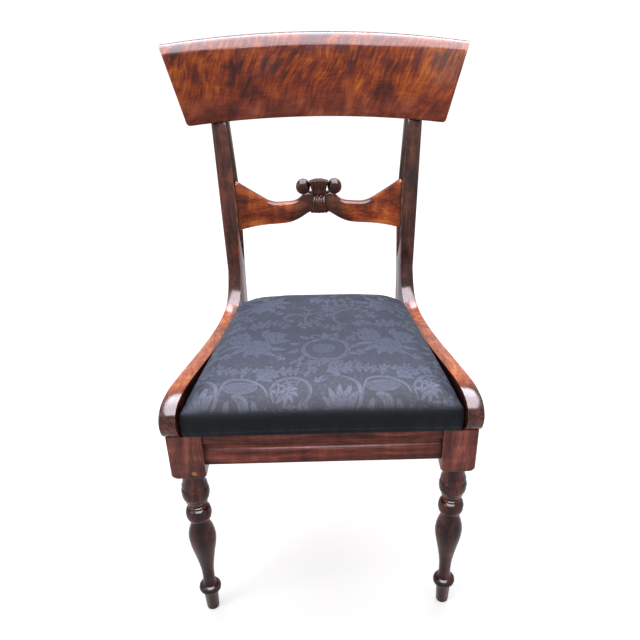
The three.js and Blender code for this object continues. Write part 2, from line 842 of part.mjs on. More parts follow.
function makeSheaf() {
  const rings = [];
  const across = reed_count * 4;
  for (let i = 0; i <= sheaf_steps; i++) {
    const share = i / sheaf_steps;
    const half = sheafHalfWidth(share);
    const z = cross_bottom + sheaf_foot + sheaf_height * share;
    const waist = 1 - Math.exp(-Math.pow((share - sheaf_waist_share) * 9, 2));
    const back = cross_thickness * (0.8 - 0.8 * Math.max(share - 0.5, 0));
    const arch = Math.pow(share, 6) * sheaf_crown;
    const ring = [];
    for (let k = 0; k <= across; k++) {
      const side = (2 * k) / across - 1;
      const reed = Math.abs(Math.sin((Math.PI * k * reed_count) / across));
      const round = sheaf_relief * (1 - 0.35 * side * side) * (0.62 + 0.38 * waist);
      const rise = arch * (1 - side * side);
      ring.push(point(side * half, -round - reed_depth * reed * waist, z + rise));
    }
    ring.push(point(half, back, z));
    ring.push(point(half / 3, back, z + arch));
    ring.push(point(-half / 3, back, z + arch));
    ring.push(point(-half, back, z));
    rings.push(ring);
  }
  return onCrossRail(solidThroughRings(rings));
}

function makePearl(side) {
  const pearl = new THREE.SphereGeometry(pearl_radius, 8, 6);
  const z = cross_bottom + sheaf_foot + sheaf_waist_share * sheaf_height;
  pearl.translate(side * sheaf_waist_width / 7, -sheaf_relief * 0.62, z);
  return onCrossRail(pearl);
}

function makeCrossTenon(grow) {
  const from = cross_half_span - cut_overrun;
  const middle = cross_thickness / 2;
  const half = cross_tenon_thickness / 2 + grow;
  return onCrossRail(boxBetween(
    point(from, middle - half, cross_bottom + cross_tenon_shoulder - grow),
    point(
      cross_half_span + cross_tenon_length + grow,
      middle + half,
      cross_bottom + cross_height - cross_tenon_shoulder + grow,
    ),
  ));
}

function makeCrossRail() {
  const ear = makeEar();
  const tenon = makeCrossTenon(0);
  const pearl = makePearl(1);
  return join(
    makeWings(), ear, mirrored(ear), tenon, mirrored(tenon), makeSheaf(), pearl, mirrored(pearl));
}

// Frame

const crest_solid = makeCrest(0);
const tongue_cutter = makeHousingTongue(fit_gap);
const crest = cut(crest_solid, tongue_cutter, mirrored(tongue_cutter));
addPiece(frame, 'crest_rail', crest, mahogany, 0.28);
addPiece(frame, 'cross_rail', makeCrossRail(), mahogany, 0.32);

const knee_mortise = sideTenon(
  knee_joint - cut_overrun, knee_joint + fit_gap + tenon_length,
  rail_tenon_low, knee_tenon_high, fit_gap);
const post = join(
  cut(makePost(), makeCrest(fit_gap)),
  makeHousingTongue(0),
  ledge(knee_joint + fit_gap / 2, back_rail_front - fit_gap),
);
const right_post = cut(post, knee_mortise, makeBackTenon(fit_gap), makeCrossTenon(fit_gap));
addPair(frame, 'back_post', right_post, mahogany, 0.32);

addPair(frame, 'side_rail', makeSideRail(), bright_mahogany, 0.3);
addPiece(frame, 'front_rail', makeFrontRail(), mahogany, 0.35);
addPiece(frame, 'back_rail', makeBackRail(), mahogany, 0.45);
addPair(frame, 'leg_dowel', makeDowel(0), beech, 0.6);

const right_leg = makeFrontLeg();
addPiece(frame, 'right_front_leg', right_leg, dark_mahogany, 0.3);
const left_leg = cut(mirrored(right_leg), makePeg(fit_gap, cut_overrun));
addPiece(frame, 'left_front_leg', left_leg, dark_mahogany, 0.3);
addPiece(frame, 'left_leg_peg', makePeg(0, 0), worn_peg, 0.6);

// Glue blocks in the four corners, each held by two screws.
const block_high = seat_level - corner_block_drop;
const block_low = block_high - corner_block_height;

function ledgeInner(y) {
  return planOuter(y) - side_thickness - ledge_width;
}

// Front block, notched round the leg, and back block in the corner of the back rail.
function frontCornerOutline() {
  const rail_face = front_rail_back + fit_gap;
  const leg_side = front_half - block_side - fit_gap;
  const leg_back = block_side + fit_gap;
  const along = leg_back + corner_block_reach;
  return [
    new THREE.Vector2(leg_side - corner_block_reach, rail_face),
    new THREE.Vector2(leg_side, rail_face),
    new THREE.Vector2(leg_side, leg_back),
    new THREE.Vector2(ledgeInner(leg_back) - fit_gap, leg_back),
    new THREE.Vector2(ledgeInner(along) - fit_gap, along),
    new THREE.Vector2(ledgeInner(along) - fit_gap - corner_block_reach / 4, along),
    new THREE.Vector2(leg_side - corner_block_reach, rail_face + corner_block_reach / 4),
  ];
}

function backCornerOutline() {
  const rail_face = back_rail_front - fit_gap;
  const along = rail_face - corner_block_reach;
  const corner = ledgeInner(rail_face) - fit_gap;
  return [
    new THREE.Vector2(corner, rail_face),
    new THREE.Vector2(corner - corner_block_reach, rail_face),
    new THREE.Vector2(corner - corner_block_reach, rail_face - corner_block_reach / 4),
    new THREE.Vector2(ledgeInner(along) - fit_gap - corner_block_reach / 4, along),
    new THREE.Vector2(ledgeInner(along) - fit_gap, along),
  ];
}

// Round-headed screw along +Y from its head at the origin.
function makeScrew(shank, grow) {
  const profile = [
    new THREE.Vector2(0, -screw_head_height - grow),
    new THREE.Vector2(screw_head_radius * 0.7, -screw_head_height * 0.8 - grow),
    new THREE.Vector2(screw_head_radius + grow, -grow),
    new THREE.Vector2(screw_head_radius + grow, 0),
    new THREE.Vector2(screw_radius + grow, 0),
    new THREE.Vector2(screw_radius + grow, shank - 2 * screw_radius),
    new THREE.Vector2(0, shank + grow),
  ];
  return new THREE.LatheGeometry(profile, round_sides - 2);
}

function screwInto(shank, grow, turn, x, y, z) {
  const screw = makeScrew(shank, grow);
  screw.rotateZ(turn);
  screw.translate(x, y, z);
  return screw;
}

const screw_height = (block_high + block_low) / 2;
const screw_length = corner_block_reach / 4 + screw_bite;
const head_inset = corner_block_reach / 4;

// Screw places as [turn about Z, x, y]: one into the end rail and one into the side rail.
function frontScrews() {
  const leg_side = front_half - block_side - fit_gap;
  const x = leg_side - corner_block_reach + screw_head_radius * 2;
  const y = front_rail_back + fit_gap + head_inset;
  const side_y = block_side + corner_block_reach - screw_head_radius * 2;
  return [
    [Math.PI, x, y],
    [-Math.PI / 2, ledgeInner(side_y) - fit_gap - head_inset, side_y],
  ];
}

function backScrews() {
  const rail_face = back_rail_front - fit_gap;
  const x = ledgeInner(rail_face) - corner_block_reach + screw_head_radius * 2;
  const side_y = rail_face - corner_block_reach + screw_head_radius * 2;
  return [
    [0, x, rail_face - head_inset],
    [-Math.PI / 2, ledgeInner(side_y) - fit_gap - head_inset, side_y],
  ];
}

// Counterbore that lets a screw's head down into the block from its sloping face.
function headRecess(turn, x, y) {
  const recess = new THREE.CylinderGeometry(
    screw_head_radius + fit_gap, screw_head_radius + fit_gap, corner_block_reach, round_sides);
  recess.translate(0, -corner_block_reach / 2, 0);
  recess.rotateZ(turn);
  recess.translate(x, y, screw_height);
  return recess;
}

const screw_bores = { front: [], back: [] };
const corners = [
  ['front', frontCornerOutline(), frontScrews()],
  ['back', backCornerOutline(), backScrews()],
];
for (const [end, outline, places] of corners) {
  let block = plateFromOutline(outline, block_low, block_high);
  places.forEach(([turn, x, y], i) => {
    const bore = screwInto(screw_length, fit_gap, turn, x, y, screw_height);
    block = cut(block, bore, headRecess(turn, x, y));
    screw_bores[end].push(bore);
    const screw = screwInto(screw_length, 0, turn, x, y, screw_height);
    addPair(frame, `${end}_block_screw_${i + 1}`, screw, steel, 0.4, 0.8);
  });
  addPair(frame, `${end}_corner_block`, block, beech, 0.65);
}

// Pilot holes in the rails for those screws.
function drillNode(name, bores) {
  const mesh = frame.children.find((child) => child.name === name);
  mesh.geometry = cut(mesh.geometry, ...bores);
}

const [front_into_rail, front_into_side] = screw_bores.front;
const [back_into_rail, back_into_side] = screw_bores.back;
drillNode('front_rail', [front_into_rail, mirrored(front_into_rail)]);
drillNode('back_rail', [back_into_rail, mirrored(back_into_rail)]);
drillNode('right_side_rail', [front_into_side]);
drillNode('left_side_rail', [mirrored(front_into_side)]);
drillNode('right_back_post', [back_into_side]);
drillNode('left_back_post', [mirrored(back_into_side)]);

// Drop-in seat
// Its outline follows the side rails: rounded corners, and sides that pull in a little.
const seat_front = -seat_front_lap;
const seat_bottom = seat_level + fit_gap;
const corner_steps = 5;
const side_steps = 5;

function seatHalfWidth(y) {
  return planOuter(y) - side_thickness - seat_play;
}

function seatOutline(inset, draw) {
  const near = seat_front + inset;
  const far = seat_back - inset;
  const near_round = Math.max(cushion_front_radius - inset, cushion_front_radius / 2);
  const far_round = Math.max(cushion_back_radius - inset, cushion_front_radius / 2);
  const near_x = seatHalfWidth(near + near_round) - inset - near_round;
  const far_x = seatHalfWidth(far - far_round) - inset - far_round;
  const arcs = [
    [near_x, near + near_round, near_round], [far_x, far - far_round, far_round],
    [-far_x, far - far_round, far_round], [-near_x, near + near_round, near_round],
  ].map(([x, y, radius], corner) => {
    const arc = new THREE.Path();
    const start = ((corner - 1) * Math.PI) / 2;
    arc.absarc(x, y, radius, start, start + Math.PI / 2, false);
    return arc.getSpacedPoints(corner_steps);
  });
  const outline = [];
  arcs.forEach((arc, corner) => {
    outline.push(...arc);
    const from = arc.at(-1);
    const to = arcs[(corner + 1) % arcs.length][0];
    const inward = new THREE.Vector2(from.y - to.y, to.x - from.x).normalize();
    for (let i = 1; i < side_steps; i++) {
      const place = from.clone().lerp(to, i / side_steps);
      outline.push(place.addScaledVector(inward, draw * Math.sin((Math.PI * i) / side_steps)));
    }
  });
  return outline;
}

// Crowned cushion form: [share of the inset to the middle, share of the crown].
const crown_shares = [
  [0.009, 0.15], [0.024, 0.28], [0.05, 0.42], [0.1, 0.57], [0.19, 0.72], [0.33, 0.86],
  [0.52, 0.95], [0.74, 0.99], [0.93, 1],
];

// The stuffing above the seat frame settles towards the back and the corners.
function settled(place, z) {
  const base = seat_bottom + seat_frame_height + cushion_firm_height;
  const across = place.x / seatHalfWidth(place.y);
  const behind = (place.y - seat_front) / (seat_back - seat_front);
  const fall = cushion_back_fall * behind * behind
    + cushion_side_fall * THREE.MathUtils.smoothstep(behind, 0.2, 0.85) * Math.pow(across, 4)
    + cushion_corner_fall * Math.pow(across * (2 * behind - 1), 4);
  return z - Math.max(z - base, 0) * Math.min(fall, 1);
}

// The front roll swells forward between the hem and the crown, along the line of the sides.
function swelled(place, z) {
  const share = Math.min((z - seat_bottom) / (1.5 * cushion_side_height), 1);
  const near = Math.exp((2 * (seat_front - place.y)) / cushion_side_height);
  const y = place.y - cushion_bulge * Math.sin(Math.PI * share) * near;
  return point((place.x * seatHalfWidth(y)) / seatHalfWidth(place.y), y, z);
}

function cushionForm(inset, low, drop) {
  const side_top = seat_bottom + cushion_side_height;
  const reach = seatHalfWidth(seat_back) * 0.98;
  const ring_at = (extra, z) => seatOutline(inset + extra, cushion_draw).map((place) => (
    swelled(place, z).setZ(settled(place, z) - drop)));
  const rings = [seatOutline(inset, cushion_draw).map((place) => swelled(place, low))];
  for (const share of [0.35, 0.7, 1]) {
    const z = seat_bottom + share * cushion_side_height;
    if (z > low + cover_hem / 8) {
      rings.push(ring_at(0, z));
    }
  }
  for (const [share, rise] of crown_shares) {
    rings.push(ring_at(share * reach, side_top + rise * cushion_crown));
  }
  return solidThroughRings(rings);
}

const hem_top = seat_bottom + cover_thickness;
const frame_low = hem_top + fit_gap;
const frame_high = frame_low + seat_frame_height;
const under_cover = cover_thickness + fit_gap;

function makeCover() {
  const outer = cushionForm(0, seat_bottom, 0);
  const hollow = cushionForm(cover_thickness, hem_top, cover_thickness);
  const mouth = plateFromOutline(
    seatOutline(cover_hem, 0), seat_bottom - cut_overrun, frame_low);
  return cut(outer, hollow, mouth);
}

// Seat frame: four members, half-lapped at the corners.
const frame_near = seat_front + under_cover + seat_frame_width;
const frame_far = seat_back - under_cover - seat_frame_width;

function sideStrip(from_side, y_low, y_high, z_low, z_high) {
  const inner = (y) => seatHalfWidth(y) - under_cover - seat_frame_width - from_side;
  const outline = [
    new THREE.Vector2(inner(y_low), y_low), new THREE.Vector2(front_half, y_low),
    new THREE.Vector2(front_half, y_high), new THREE.Vector2(inner(y_high), y_high),
  ];
  return plateFromOutline(outline, z_low, z_high);
}

function makeSeatFrame() {
  const lap = (frame_low + frame_high) / 2;
  const low = frame_low - cut_overrun;
  const high = frame_high + cut_overrun;
  const y_low = seat_front - cut_overrun;
  const y_high = seat_back + cut_overrun;
  const whole = plateFromOutline(
    seatOutline(under_cover, cushion_draw), frame_low, frame_high);
  const band = (from, to, z_low, z_high) => boxBetween(
    point(-front_half, from, z_low), point(front_half, to, z_high));
  const upper_side = sideStrip(fit_gap, y_low, y_high, lap - fit_gap / 2, high);
  const members = {
    front: cut(
      common(whole, band(y_low, frame_near, low, high)), upper_side, mirrored(upper_side)),
    back: cut(
      common(whole, band(frame_far, y_high, low, high)), upper_side, mirrored(upper_side)),
    right: cut(
      common(whole, sideStrip(0, y_low, y_high, low, high)),
      band(y_low, frame_near + fit_gap, low, lap + fit_gap / 2),
      band(frame_far - fit_gap, y_high, low, lap + fit_gap / 2),
    ),
  };
  addPiece(drop_in_seat, 'seat_frame_front', members.front, beech, 0.7);
  addPiece(drop_in_seat, 'seat_frame_back', members.back, beech, 0.7);
  addPiece(drop_in_seat, 'seat_frame_right', members.right, beech, 0.7);
  addPiece(drop_in_seat, 'seat_frame_left', mirrored(members.right), beech, 0.7);
}

// Webbing: three strips each way, over and under in turn, tacked on the seat frame.
const web_count = 3;
const web_base = frame_high + fit_gap;
const web_wave = (web_thickness + fit_gap) / 2;
const web_middle = web_base + web_wave + web_thickness / 2;

// A strip along +Y between two ends, which passes over or under at each crossing.
function makeWeb(from, to, crossings, first_over) {
  const hold = web_width / 2 + web_thickness;
  const line = [[from, -web_wave]];
  crossings.forEach((place, i) => {
    const side = (i % 2 === 0) === first_over ? web_wave : -web_wave;
    line.push([place - hold, side]);
    line.push([place + hold, side]);
  });
  line.push([to, -web_wave]);
  const upper = line.map(([y, z]) => new THREE.Vector2(y, web_middle + z + web_thickness / 2));
  const lower = line.map(([y, z]) => new THREE.Vector2(y, web_middle + z - web_thickness / 2));
  const strip = boardFromOutline([...lower, ...upper.reverse()], web_width);
  strip.translate(web_width / 2, 0, 0);
  return strip;
}

function makeWebbing() {
  const pitch_x = (2 * (seatHalfWidth(frame_far) - seat_frame_width)) / (web_count + 0.4);
  const pitch_y = (frame_far - frame_near) / (web_count + 0.2);
  const middle_y = (frame_near + frame_far) / 2;
  const places = [...Array(web_count).keys()].map((i) => i - (web_count - 1) / 2);
  places.forEach((place, i) => {
    const long = makeWeb(
      frame_near - web_lap, frame_far + web_lap,
      places.map((other) => middle_y + other * pitch_y), i % 2 === 0);
    long.translate(place * pitch_x, 0, 0);
    addPiece(drop_in_seat, `webbing_long_${i + 1}`, long, jute, 0.9);
  });
  places.forEach((place, i) => {
    const y = middle_y + place * pitch_y;
    const reach = seatHalfWidth(y) - under_cover - seat_frame_width + web_lap;
    const cross = makeWeb(-reach, reach, places.map((other) => other * pitch_x), i % 2 === 1);
    cross.rotateZ(-Math.PI / 2);
    cross.translate(0, y, 0);
    addPiece(drop_in_seat, `webbing_cross_${i + 1}`, cross, jute, 0.9);
  });
}

const hessian_low = web_middle + web_wave + web_thickness / 2 + fit_gap;
const hessian_high = hessian_low + hessian_thickness;
const pad_low = hessian_high + fit_gap;

function makeHessian() {
  const outline = seatOutline(under_cover + web_lap / 2, cushion_draw);
  return plateFromOutline(outline, hessian_low, hessian_high);
}

makeSeatFrame();
makeWebbing();
addPiece(drop_in_seat, 'hessian', makeHessian(), jute, 0.95);
const pad = cushionForm(under_cover + fit_gap, pad_low, under_cover);
addPiece(drop_in_seat, 'seat_pad', pad, wadding, 0.9);
addPiece(drop_in_seat, 'seat_cover', makeCover(), damask, 0.8);

// The origin is on the floor under the middle of the chair.
const reach = new THREE.Box3().setFromObject(chair);
chair.position.y = -(reach.min.y + reach.max.y) / 2;

export default chair;
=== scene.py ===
import math

import bmesh
import bpy
import numpy
from mathutils import Matrix, Vector


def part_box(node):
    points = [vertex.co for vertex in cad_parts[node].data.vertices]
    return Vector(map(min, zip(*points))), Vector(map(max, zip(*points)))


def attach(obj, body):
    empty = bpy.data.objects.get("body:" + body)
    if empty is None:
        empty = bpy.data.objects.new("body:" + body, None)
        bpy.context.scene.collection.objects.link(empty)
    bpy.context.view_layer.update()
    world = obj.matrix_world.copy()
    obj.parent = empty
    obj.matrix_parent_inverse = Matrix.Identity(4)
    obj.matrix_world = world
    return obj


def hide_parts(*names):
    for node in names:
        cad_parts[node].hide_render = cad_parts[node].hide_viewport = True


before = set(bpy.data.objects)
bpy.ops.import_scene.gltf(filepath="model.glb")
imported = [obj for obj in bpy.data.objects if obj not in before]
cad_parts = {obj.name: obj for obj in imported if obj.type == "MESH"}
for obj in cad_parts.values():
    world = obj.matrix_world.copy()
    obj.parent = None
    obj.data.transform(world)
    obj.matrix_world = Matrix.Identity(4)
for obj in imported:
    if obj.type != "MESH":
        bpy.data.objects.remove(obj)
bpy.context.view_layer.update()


# Back posts
# Each is one mahogany board from under the crest to the sabre foot, sawn to its curve,
# planed, glued to the side rail at the knee and french polished.
def linear(hex_colour):
    """The linear colour of an sRGB hex value."""
    shares = [int(hex_colour[i:i + 2], 16) / 255 for i in (1, 3, 5)]
    return [s / 12.92 if s <= 0.04045 else ((s + 0.055) / 1.055) ** 2.4 for s in shares] + [1]


def add(tree, kind, inputs, stops=(), **settings):
    """Adds a node. Each input is a value, or the output that feeds it."""
    made = tree.nodes.new(kind)
    for name, value in settings.items():
        setattr(made, name, value)
    for socket, value in inputs.items():
        if isinstance(value, bpy.types.NodeSocket):
            tree.links.new(value, made.inputs[socket])
        else:
            made.inputs[socket].default_value = value
    for i, (place, colour) in enumerate(stops):
        elements = made.color_ramp.elements
        stop = elements[i] if i < 2 else elements.new(place)
        stop.position = place
        stop.color = linear(colour)
    return made


def new_material(name):
    """An empty material and its node tree."""
    material = bpy.data.materials.new(name)
    material.use_nodes = True
    material.node_tree.nodes.clear()
    return material, material.node_tree


def grain_scale(along, width, length):
    """Turns metres into a pattern that is width across the grain and length along it."""
    return [1 / (length if axis == along else width) for axis in "XYZ"]


def french_polish(tree, place, wood, lines, pores, worn, rough, mirror=0.32):
    """Fills a wood's pores, darkens its corners with painted shade and dirt, rubs its edges and
    lays shellac over it.
    """
    pore = add(tree, "ShaderNodeMapRange", {
        "Value": pores, "From Min": 0.62, "From Max": 0.72, "To Min": 0, "To Max": 0.5})
    wood = add(tree, "ShaderNodeMix", {
        "Factor": pore.outputs[0], 6: wood, 7: linear("#1c0a08")},
        data_type="RGBA").outputs[2]
    # Painted shade darkens the corners that ambient occlusion finds, and stands for the dirt and
    # old polish there too.
    hidden = add(tree, "ShaderNodeAmbientOcclusion", {"Distance": 0.014}, samples=6)
    painted_shade_and_dirt = add(tree, "ShaderNodeMapRange", {
        "Value": hidden.outputs["AO"], "From Min": 0.35, "From Max": 0.95,
        "To Min": 0.75, "To Max": 0})
    wood = add(tree, "ShaderNodeMix", {
        "Factor": painted_shade_and_dirt.outputs[0], 6: wood, 7: linear("#150807")},
        data_type="RGBA").outputs[2]
    # The edges are rubbed paler where the rounded normal leaves the true one.
    facing = add(tree, "ShaderNodeNewGeometry", {}).outputs["Normal"]
    eased = add(tree, "ShaderNodeBevel", {"Radius": 0.0028}, samples=6).outputs[0]
    turned = add(tree, "ShaderNodeVectorMath", {0: facing, 1: eased},
                 operation="DOT_PRODUCT").outputs["Value"]
    edge = add(tree, "ShaderNodeMapRange", {
        "Value": turned, "From Min": 0.985, "From Max": 0.84, "To Min": 0, "To Max": 1})
    patchy = add(tree, "ShaderNodeTexNoise", {"Vector": place, "Scale": 60, "Detail": 3})
    patchy = add(tree, "ShaderNodeMapRange", {
        "Value": patchy.outputs["Fac"], "From Min": 0.4, "From Max": 0.65,
        "To Min": 0.1, "To Max": 0.65})
    rubbed = add(tree, "ShaderNodeMath", {0: edge.outputs[0], 1: patchy.outputs[0]},
                 operation="MULTIPLY").outputs[0]
    wood = add(tree, "ShaderNodeMix", {"Factor": rubbed, 6: wood, 7: linear(worn)},
               data_type="RGBA").outputs[2]
    smear = add(tree, "ShaderNodeTexNoise", {"Vector": place, "Scale": 18, "Detail": 4})
    roughness = add(tree, "ShaderNodeMapRange", {
        "Value": smear.outputs["Fac"], "From Min": 0.3, "From Max": 0.7,
        "To Min": rough[0], "To Max": rough[1]})
    height = add(tree, "ShaderNodeMath", {0: pore.outputs[0], 1: -1.0, 2: lines},
                 operation="MULTIPLY_ADD").outputs[0]
    bump = add(tree, "ShaderNodeBump", {
        "Height": height, "Distance": 0.0002, "Strength": 0.3})
    shader = add(tree, "ShaderNodeBsdfPrincipled", {
        "Base Color": wood, "Roughness": roughness.outputs[0], "Normal": bump.outputs[0],
        "IOR": 1.5, "Specular IOR Level": mirror, "Coat Weight": mirror / 2,
        "Coat Roughness": 0.1})
    add(tree, "ShaderNodeOutputMaterial", {"Surface": shader.outputs[0]})


def polished_mahogany(name, along, shades, other=None, where=(), streak=(0.012, 0.3),
                      start=(0, 0, 0), worn="#b5683c", rough=(0.1, 0.24),
                      mirror=0.32):
    """Straight-grained mahogany under shellac, with other shades where the piece says.

    Each piece has its own start in the pattern, so that no two boards look alike.
    """
    material, tree = new_material(name)
    unmoved = add(tree, "ShaderNodeTexCoord", {}).outputs["Object"]
    place = add(tree, "ShaderNodeMapping", {"Vector": unmoved, "Location": start}).outputs[0]
    # The grain wanders some millimetres from a straight line.
    drift = add(tree, "ShaderNodeTexNoise", {"Vector": place, "Scale": 7, "Detail": 2})
    drift = add(tree, "ShaderNodeVectorMath", {0: drift.outputs["Color"], 1: [0.5] * 3},
                operation="SUBTRACT").outputs[0]
    bent = add(tree, "ShaderNodeVectorMath", {0: drift, 1: [0.03] * 3, 2: place},
               operation="MULTIPLY_ADD").outputs[0]
    patterns = []
    for width, length, detail in ((*streak, 4), (0.0018, 0.07, 3), (0.05, 0.014, 2),
                                  (0.0011, 0.011, 1)):
        scaled = add(tree, "ShaderNodeMapping",
                     {"Vector": bent, "Scale": grain_scale(along, width, length)})
        patterns.append(add(tree, "ShaderNodeTexNoise", {
            "Vector": scaled.outputs[0], "Scale": 1, "Detail": detail,
            "Roughness": 0.58}).outputs["Fac"])
    streaks, lines, bands, pores = patterns
    level = add(tree, "ShaderNodeMath", {0: lines, 1: 0.4, 2: streaks},
                operation="MULTIPLY_ADD").outputs[0]
    level = add(tree, "ShaderNodeMath", {0: bands, 1: 0.35, 2: level},
                operation="MULTIPLY_ADD").outputs[0]
    level = add(tree, "ShaderNodeMath", {0: level, 1: 1.75}, operation="DIVIDE").outputs[0]
    woods = []
    for tones in (shades, other or shades):
        woods.append(add(tree, "ShaderNodeValToRGB", {"Fac": level}, stops=[
            (0.39, tones[0]), (0.62, tones[3]), (0.47, tones[1]),
            (0.54, tones[2])]).outputs[0])
    share = 1.0
    for way, least, most in where:
        # A zone "up" is painted light: faces that turn upwards take the other, paler shades, as
        # if lit from above.
        if way == "up":
            normal = add(tree, "ShaderNodeNewGeometry", {}).outputs["Normal"]
            source = add(tree, "ShaderNodeSeparateXYZ", {0: normal}).outputs["Z"]
        else:
            split = add(tree, "ShaderNodeSeparateXYZ", {0: unmoved}).outputs[way]
            source = add(tree, "ShaderNodeMath", {0: split}, operation="ABSOLUTE").outputs[0]
        part = add(tree, "ShaderNodeMapRange", {
            "Value": source, "From Min": least, "From Max": most, "To Min": 0, "To Max": 1})
        share = add(tree, "ShaderNodeMath", {0: part.outputs[0], 1: share},
                    operation="MULTIPLY").outputs[0]
    wood = woods[0]
    if where:
        wood = add(tree, "ShaderNodeMix", {"Factor": share, 6: woods[0], 7: woods[1]},
                   data_type="RGBA").outputs[2]
    french_polish(tree, place, wood, lines, pores, worn, rough, mirror)
    return material


# Smooths every edge that is flatter than the angle and keeps the others crisp.
shading = bpy.data.node_groups.new("smooth_by_angle", "GeometryNodeTree")
for way in ("INPUT", "OUTPUT"):
    shading.interface.new_socket("Geometry", in_out=way, socket_type="NodeSocketGeometry")
given = add(shading, "NodeGroupInput", {})
plain = add(shading, "GeometryNodeRemoveAttribute",
            {"Geometry": given.outputs[0], "Name": "custom_normal"})
fold = add(shading, "GeometryNodeInputMeshEdgeAngle", {})
flat_enough = add(shading, "FunctionNodeCompare",
                  {0: fold.outputs["Unsigned Angle"], 1: math.radians(36)},
                  operation="LESS_THAN")
soft = add(shading, "GeometryNodeSetShadeSmooth", {"Geometry": plain.outputs[0]},
           domain="FACE")
crisp = add(shading, "GeometryNodeSetShadeSmooth",
            {"Geometry": soft.outputs[0], "Shade Smooth": flat_enough.outputs[0]},
            domain="EDGE")
add(shading, "NodeGroupOutput", {0: crisp.outputs[0]})


def finish(name, material, edge):
    """Dresses a CAD node: joined faces, its sharp edges eased by edge, its material."""
    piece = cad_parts[name]
    piece.data.materials.clear()
    piece.data.materials.append(material)
    joined = piece.modifiers.new("joined", "WELD")
    joined.merge_threshold = 1e-6
    flat = piece.modifiers.new("flat", "DECIMATE")
    flat.decimate_type = "DISSOLVE"
    flat.angle_limit = math.radians(0.5)
    eased = piece.modifiers.new("eased", "BEVEL")
    eased.limit_method = "ANGLE"
    eased.angle_limit = math.radians(36)
    eased.width = edge
    eased.segments = 2
    piece.modifiers.new("shading", "NODES").node_group = shading
    return piece


# Where the knee turns upwards, the wood is painted paler, as painted light from above.
for side, start, shades in (
        ("right", (0.4, 0, 0), ("#240d08", "#3c160e", "#522418", "#703a26")),
        ("left", (0, 0.3, 0.1), ("#2c110b", "#4a1d12", "#602c1c", "#82452c"))):
    finish(f"{side}_back_post", polished_mahogany(
        f"french_polished_mahogany_{side}_post", "Z", shades,
        other=("#8c3818", "#bd5420", "#dc6e30", "#f39450"), where=[("up", 0.86, 0.975)],
        start=start), 0.0012)


# Side rails
# Mahogany boards that run from the post's knee to a scrolled nose over the front leg.
# Their tops are painted a bright red-brown as painted light from above, and the noses keep the
# dark shades.
for side, start in (("right", (0, 0.7, 0)), ("left", (0.2, 0, 0.5))):
    finish(f"{side}_side_rail", polished_mahogany(
        f"french_polished_mahogany_{side}_rail", "Y",
        ("#2c110d", "#461e17", "#5c2b20", "#7a4230"),
        other=("#963b15", "#c4561c", "#df6e28", "#f4954f"),
        where=[("up", 0.8, 0.97), ("Y", 0.244, 0.212)],
        streak=(0.007, 0.05), start=start), 0.0012)


# Front legs
# Turned from one mahogany square each and stained dark. The square block is redder.
for side, start, block in (
        ("right", (0.1, 0, 0.3), ("#4a1d15", "#6a3328", "#824136", "#9e5846")),
        ("left", (0, 0.6, 0), ("#42190f", "#5d2a20", "#73382b", "#8e4d3b"))):
    finish(f"{side}_front_leg", polished_mahogany(
        f"stained_mahogany_{side}_leg", "Z", ("#190909", "#2e1412", "#46201a", "#6c3628"),
        other=block, where=[("Z", 0.322, 0.334)], start=start, mirror=0.26), 0.0008)
    finish(f"{side}_leg_dowel", polished_mahogany(
        f"turned_mahogany_{side}_dowel", "Z", block, start=start), 0.0003)
finish("left_leg_peg", polished_mahogany(
    "rubbed_mahogany_peg", "Y", ("#7a4528", "#94582f", "#aa6a3c", "#c08050")), 0.0003)


# Front and back seat rails
# Mahogany boards tenoned into the legs and posts. The front one has a fillet and a cove
# along its top.
for name, start in (("front_rail", (0.3, 0.2, 0)), ("back_rail", (0, 0.2, 0.6))):
    finish(name, polished_mahogany(
        f"french_polished_mahogany_{name}", "X",
        ("#3a150f", "#5a281d", "#713428", "#8e4a3a"), worn="#8a5040", start=start,
        rough=(0.34, 0.46), mirror=0.18), 0.0008)


# Crest rail
# A broad tablet of fiddleback mahogany, sawn to a hollow curve and housed on the posts.
# Slanting ripples cross its grain, amber between smoky bands, and a knot marks its top.
fiddleback, tree = new_material("french_polished_fiddleback_mahogany")
place = add(tree, "ShaderNodeTexCoord", {}).outputs["Object"]
drift = add(tree, "ShaderNodeTexNoise", {"Vector": place, "Scale": 9, "Detail": 3})
drift = add(tree, "ShaderNodeVectorMath", {0: drift.outputs["Color"], 1: [0.5] * 3},
            operation="SUBTRACT").outputs[0]
bent = add(tree, "ShaderNodeVectorMath", {0: drift, 1: [0.045] * 3, 2: place},
           operation="MULTIPLY_ADD").outputs[0]
leaning = add(tree, "ShaderNodeMapping",
              {"Vector": bent, "Rotation": (0, math.radians(-24), 0)}).outputs[0]
crest_patterns = []
for source, sizes, detail in (
        (bent, (0.05, 0.08, 0.03), 3),  # broad clouds
        (leaning, (0.017, 0.08, 0.07), 3),  # smoky slanting bands
        (leaning, (0.0044, 0.08, 0.03), 2),  # ripples
        (bent, (0.07, 0.01, 0.0019), 3),  # grain
        (bent, (0.011, 0.0011, 0.0011), 1)):  # pores
    scaled = add(tree, "ShaderNodeMapping",
                 {"Vector": source, "Scale": [1 / size for size in sizes]})
    crest_patterns.append(add(tree, "ShaderNodeTexNoise", {
        "Vector": scaled.outputs[0], "Scale": 1, "Detail": detail,
        "Roughness": 0.55}).outputs["Fac"])
clouds, bands, ripples, lines, pores = crest_patterns
height_up = add(tree, "ShaderNodeSeparateXYZ", {0: place}).outputs["Z"]
crest_low, crest_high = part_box("crest_rail")
upper = add(tree, "ShaderNodeMapRange", {
    "Value": height_up, "From Min": crest_low.z + 0.02, "From Max": crest_high.z - 0.05,
    "To Min": 0.14, "To Max": 0.55}).outputs[0]
level = add(tree, "ShaderNodeMath", {0: bands, 1: 0.8, 2: clouds},
            operation="MULTIPLY_ADD").outputs[0]
level = add(tree, "ShaderNodeMath", {0: lines, 1: 0.35, 2: level},
            operation="MULTIPLY_ADD").outputs[0]
centred = add(tree, "ShaderNodeMath", {0: ripples, 1: 0.5}, operation="SUBTRACT").outputs[0]
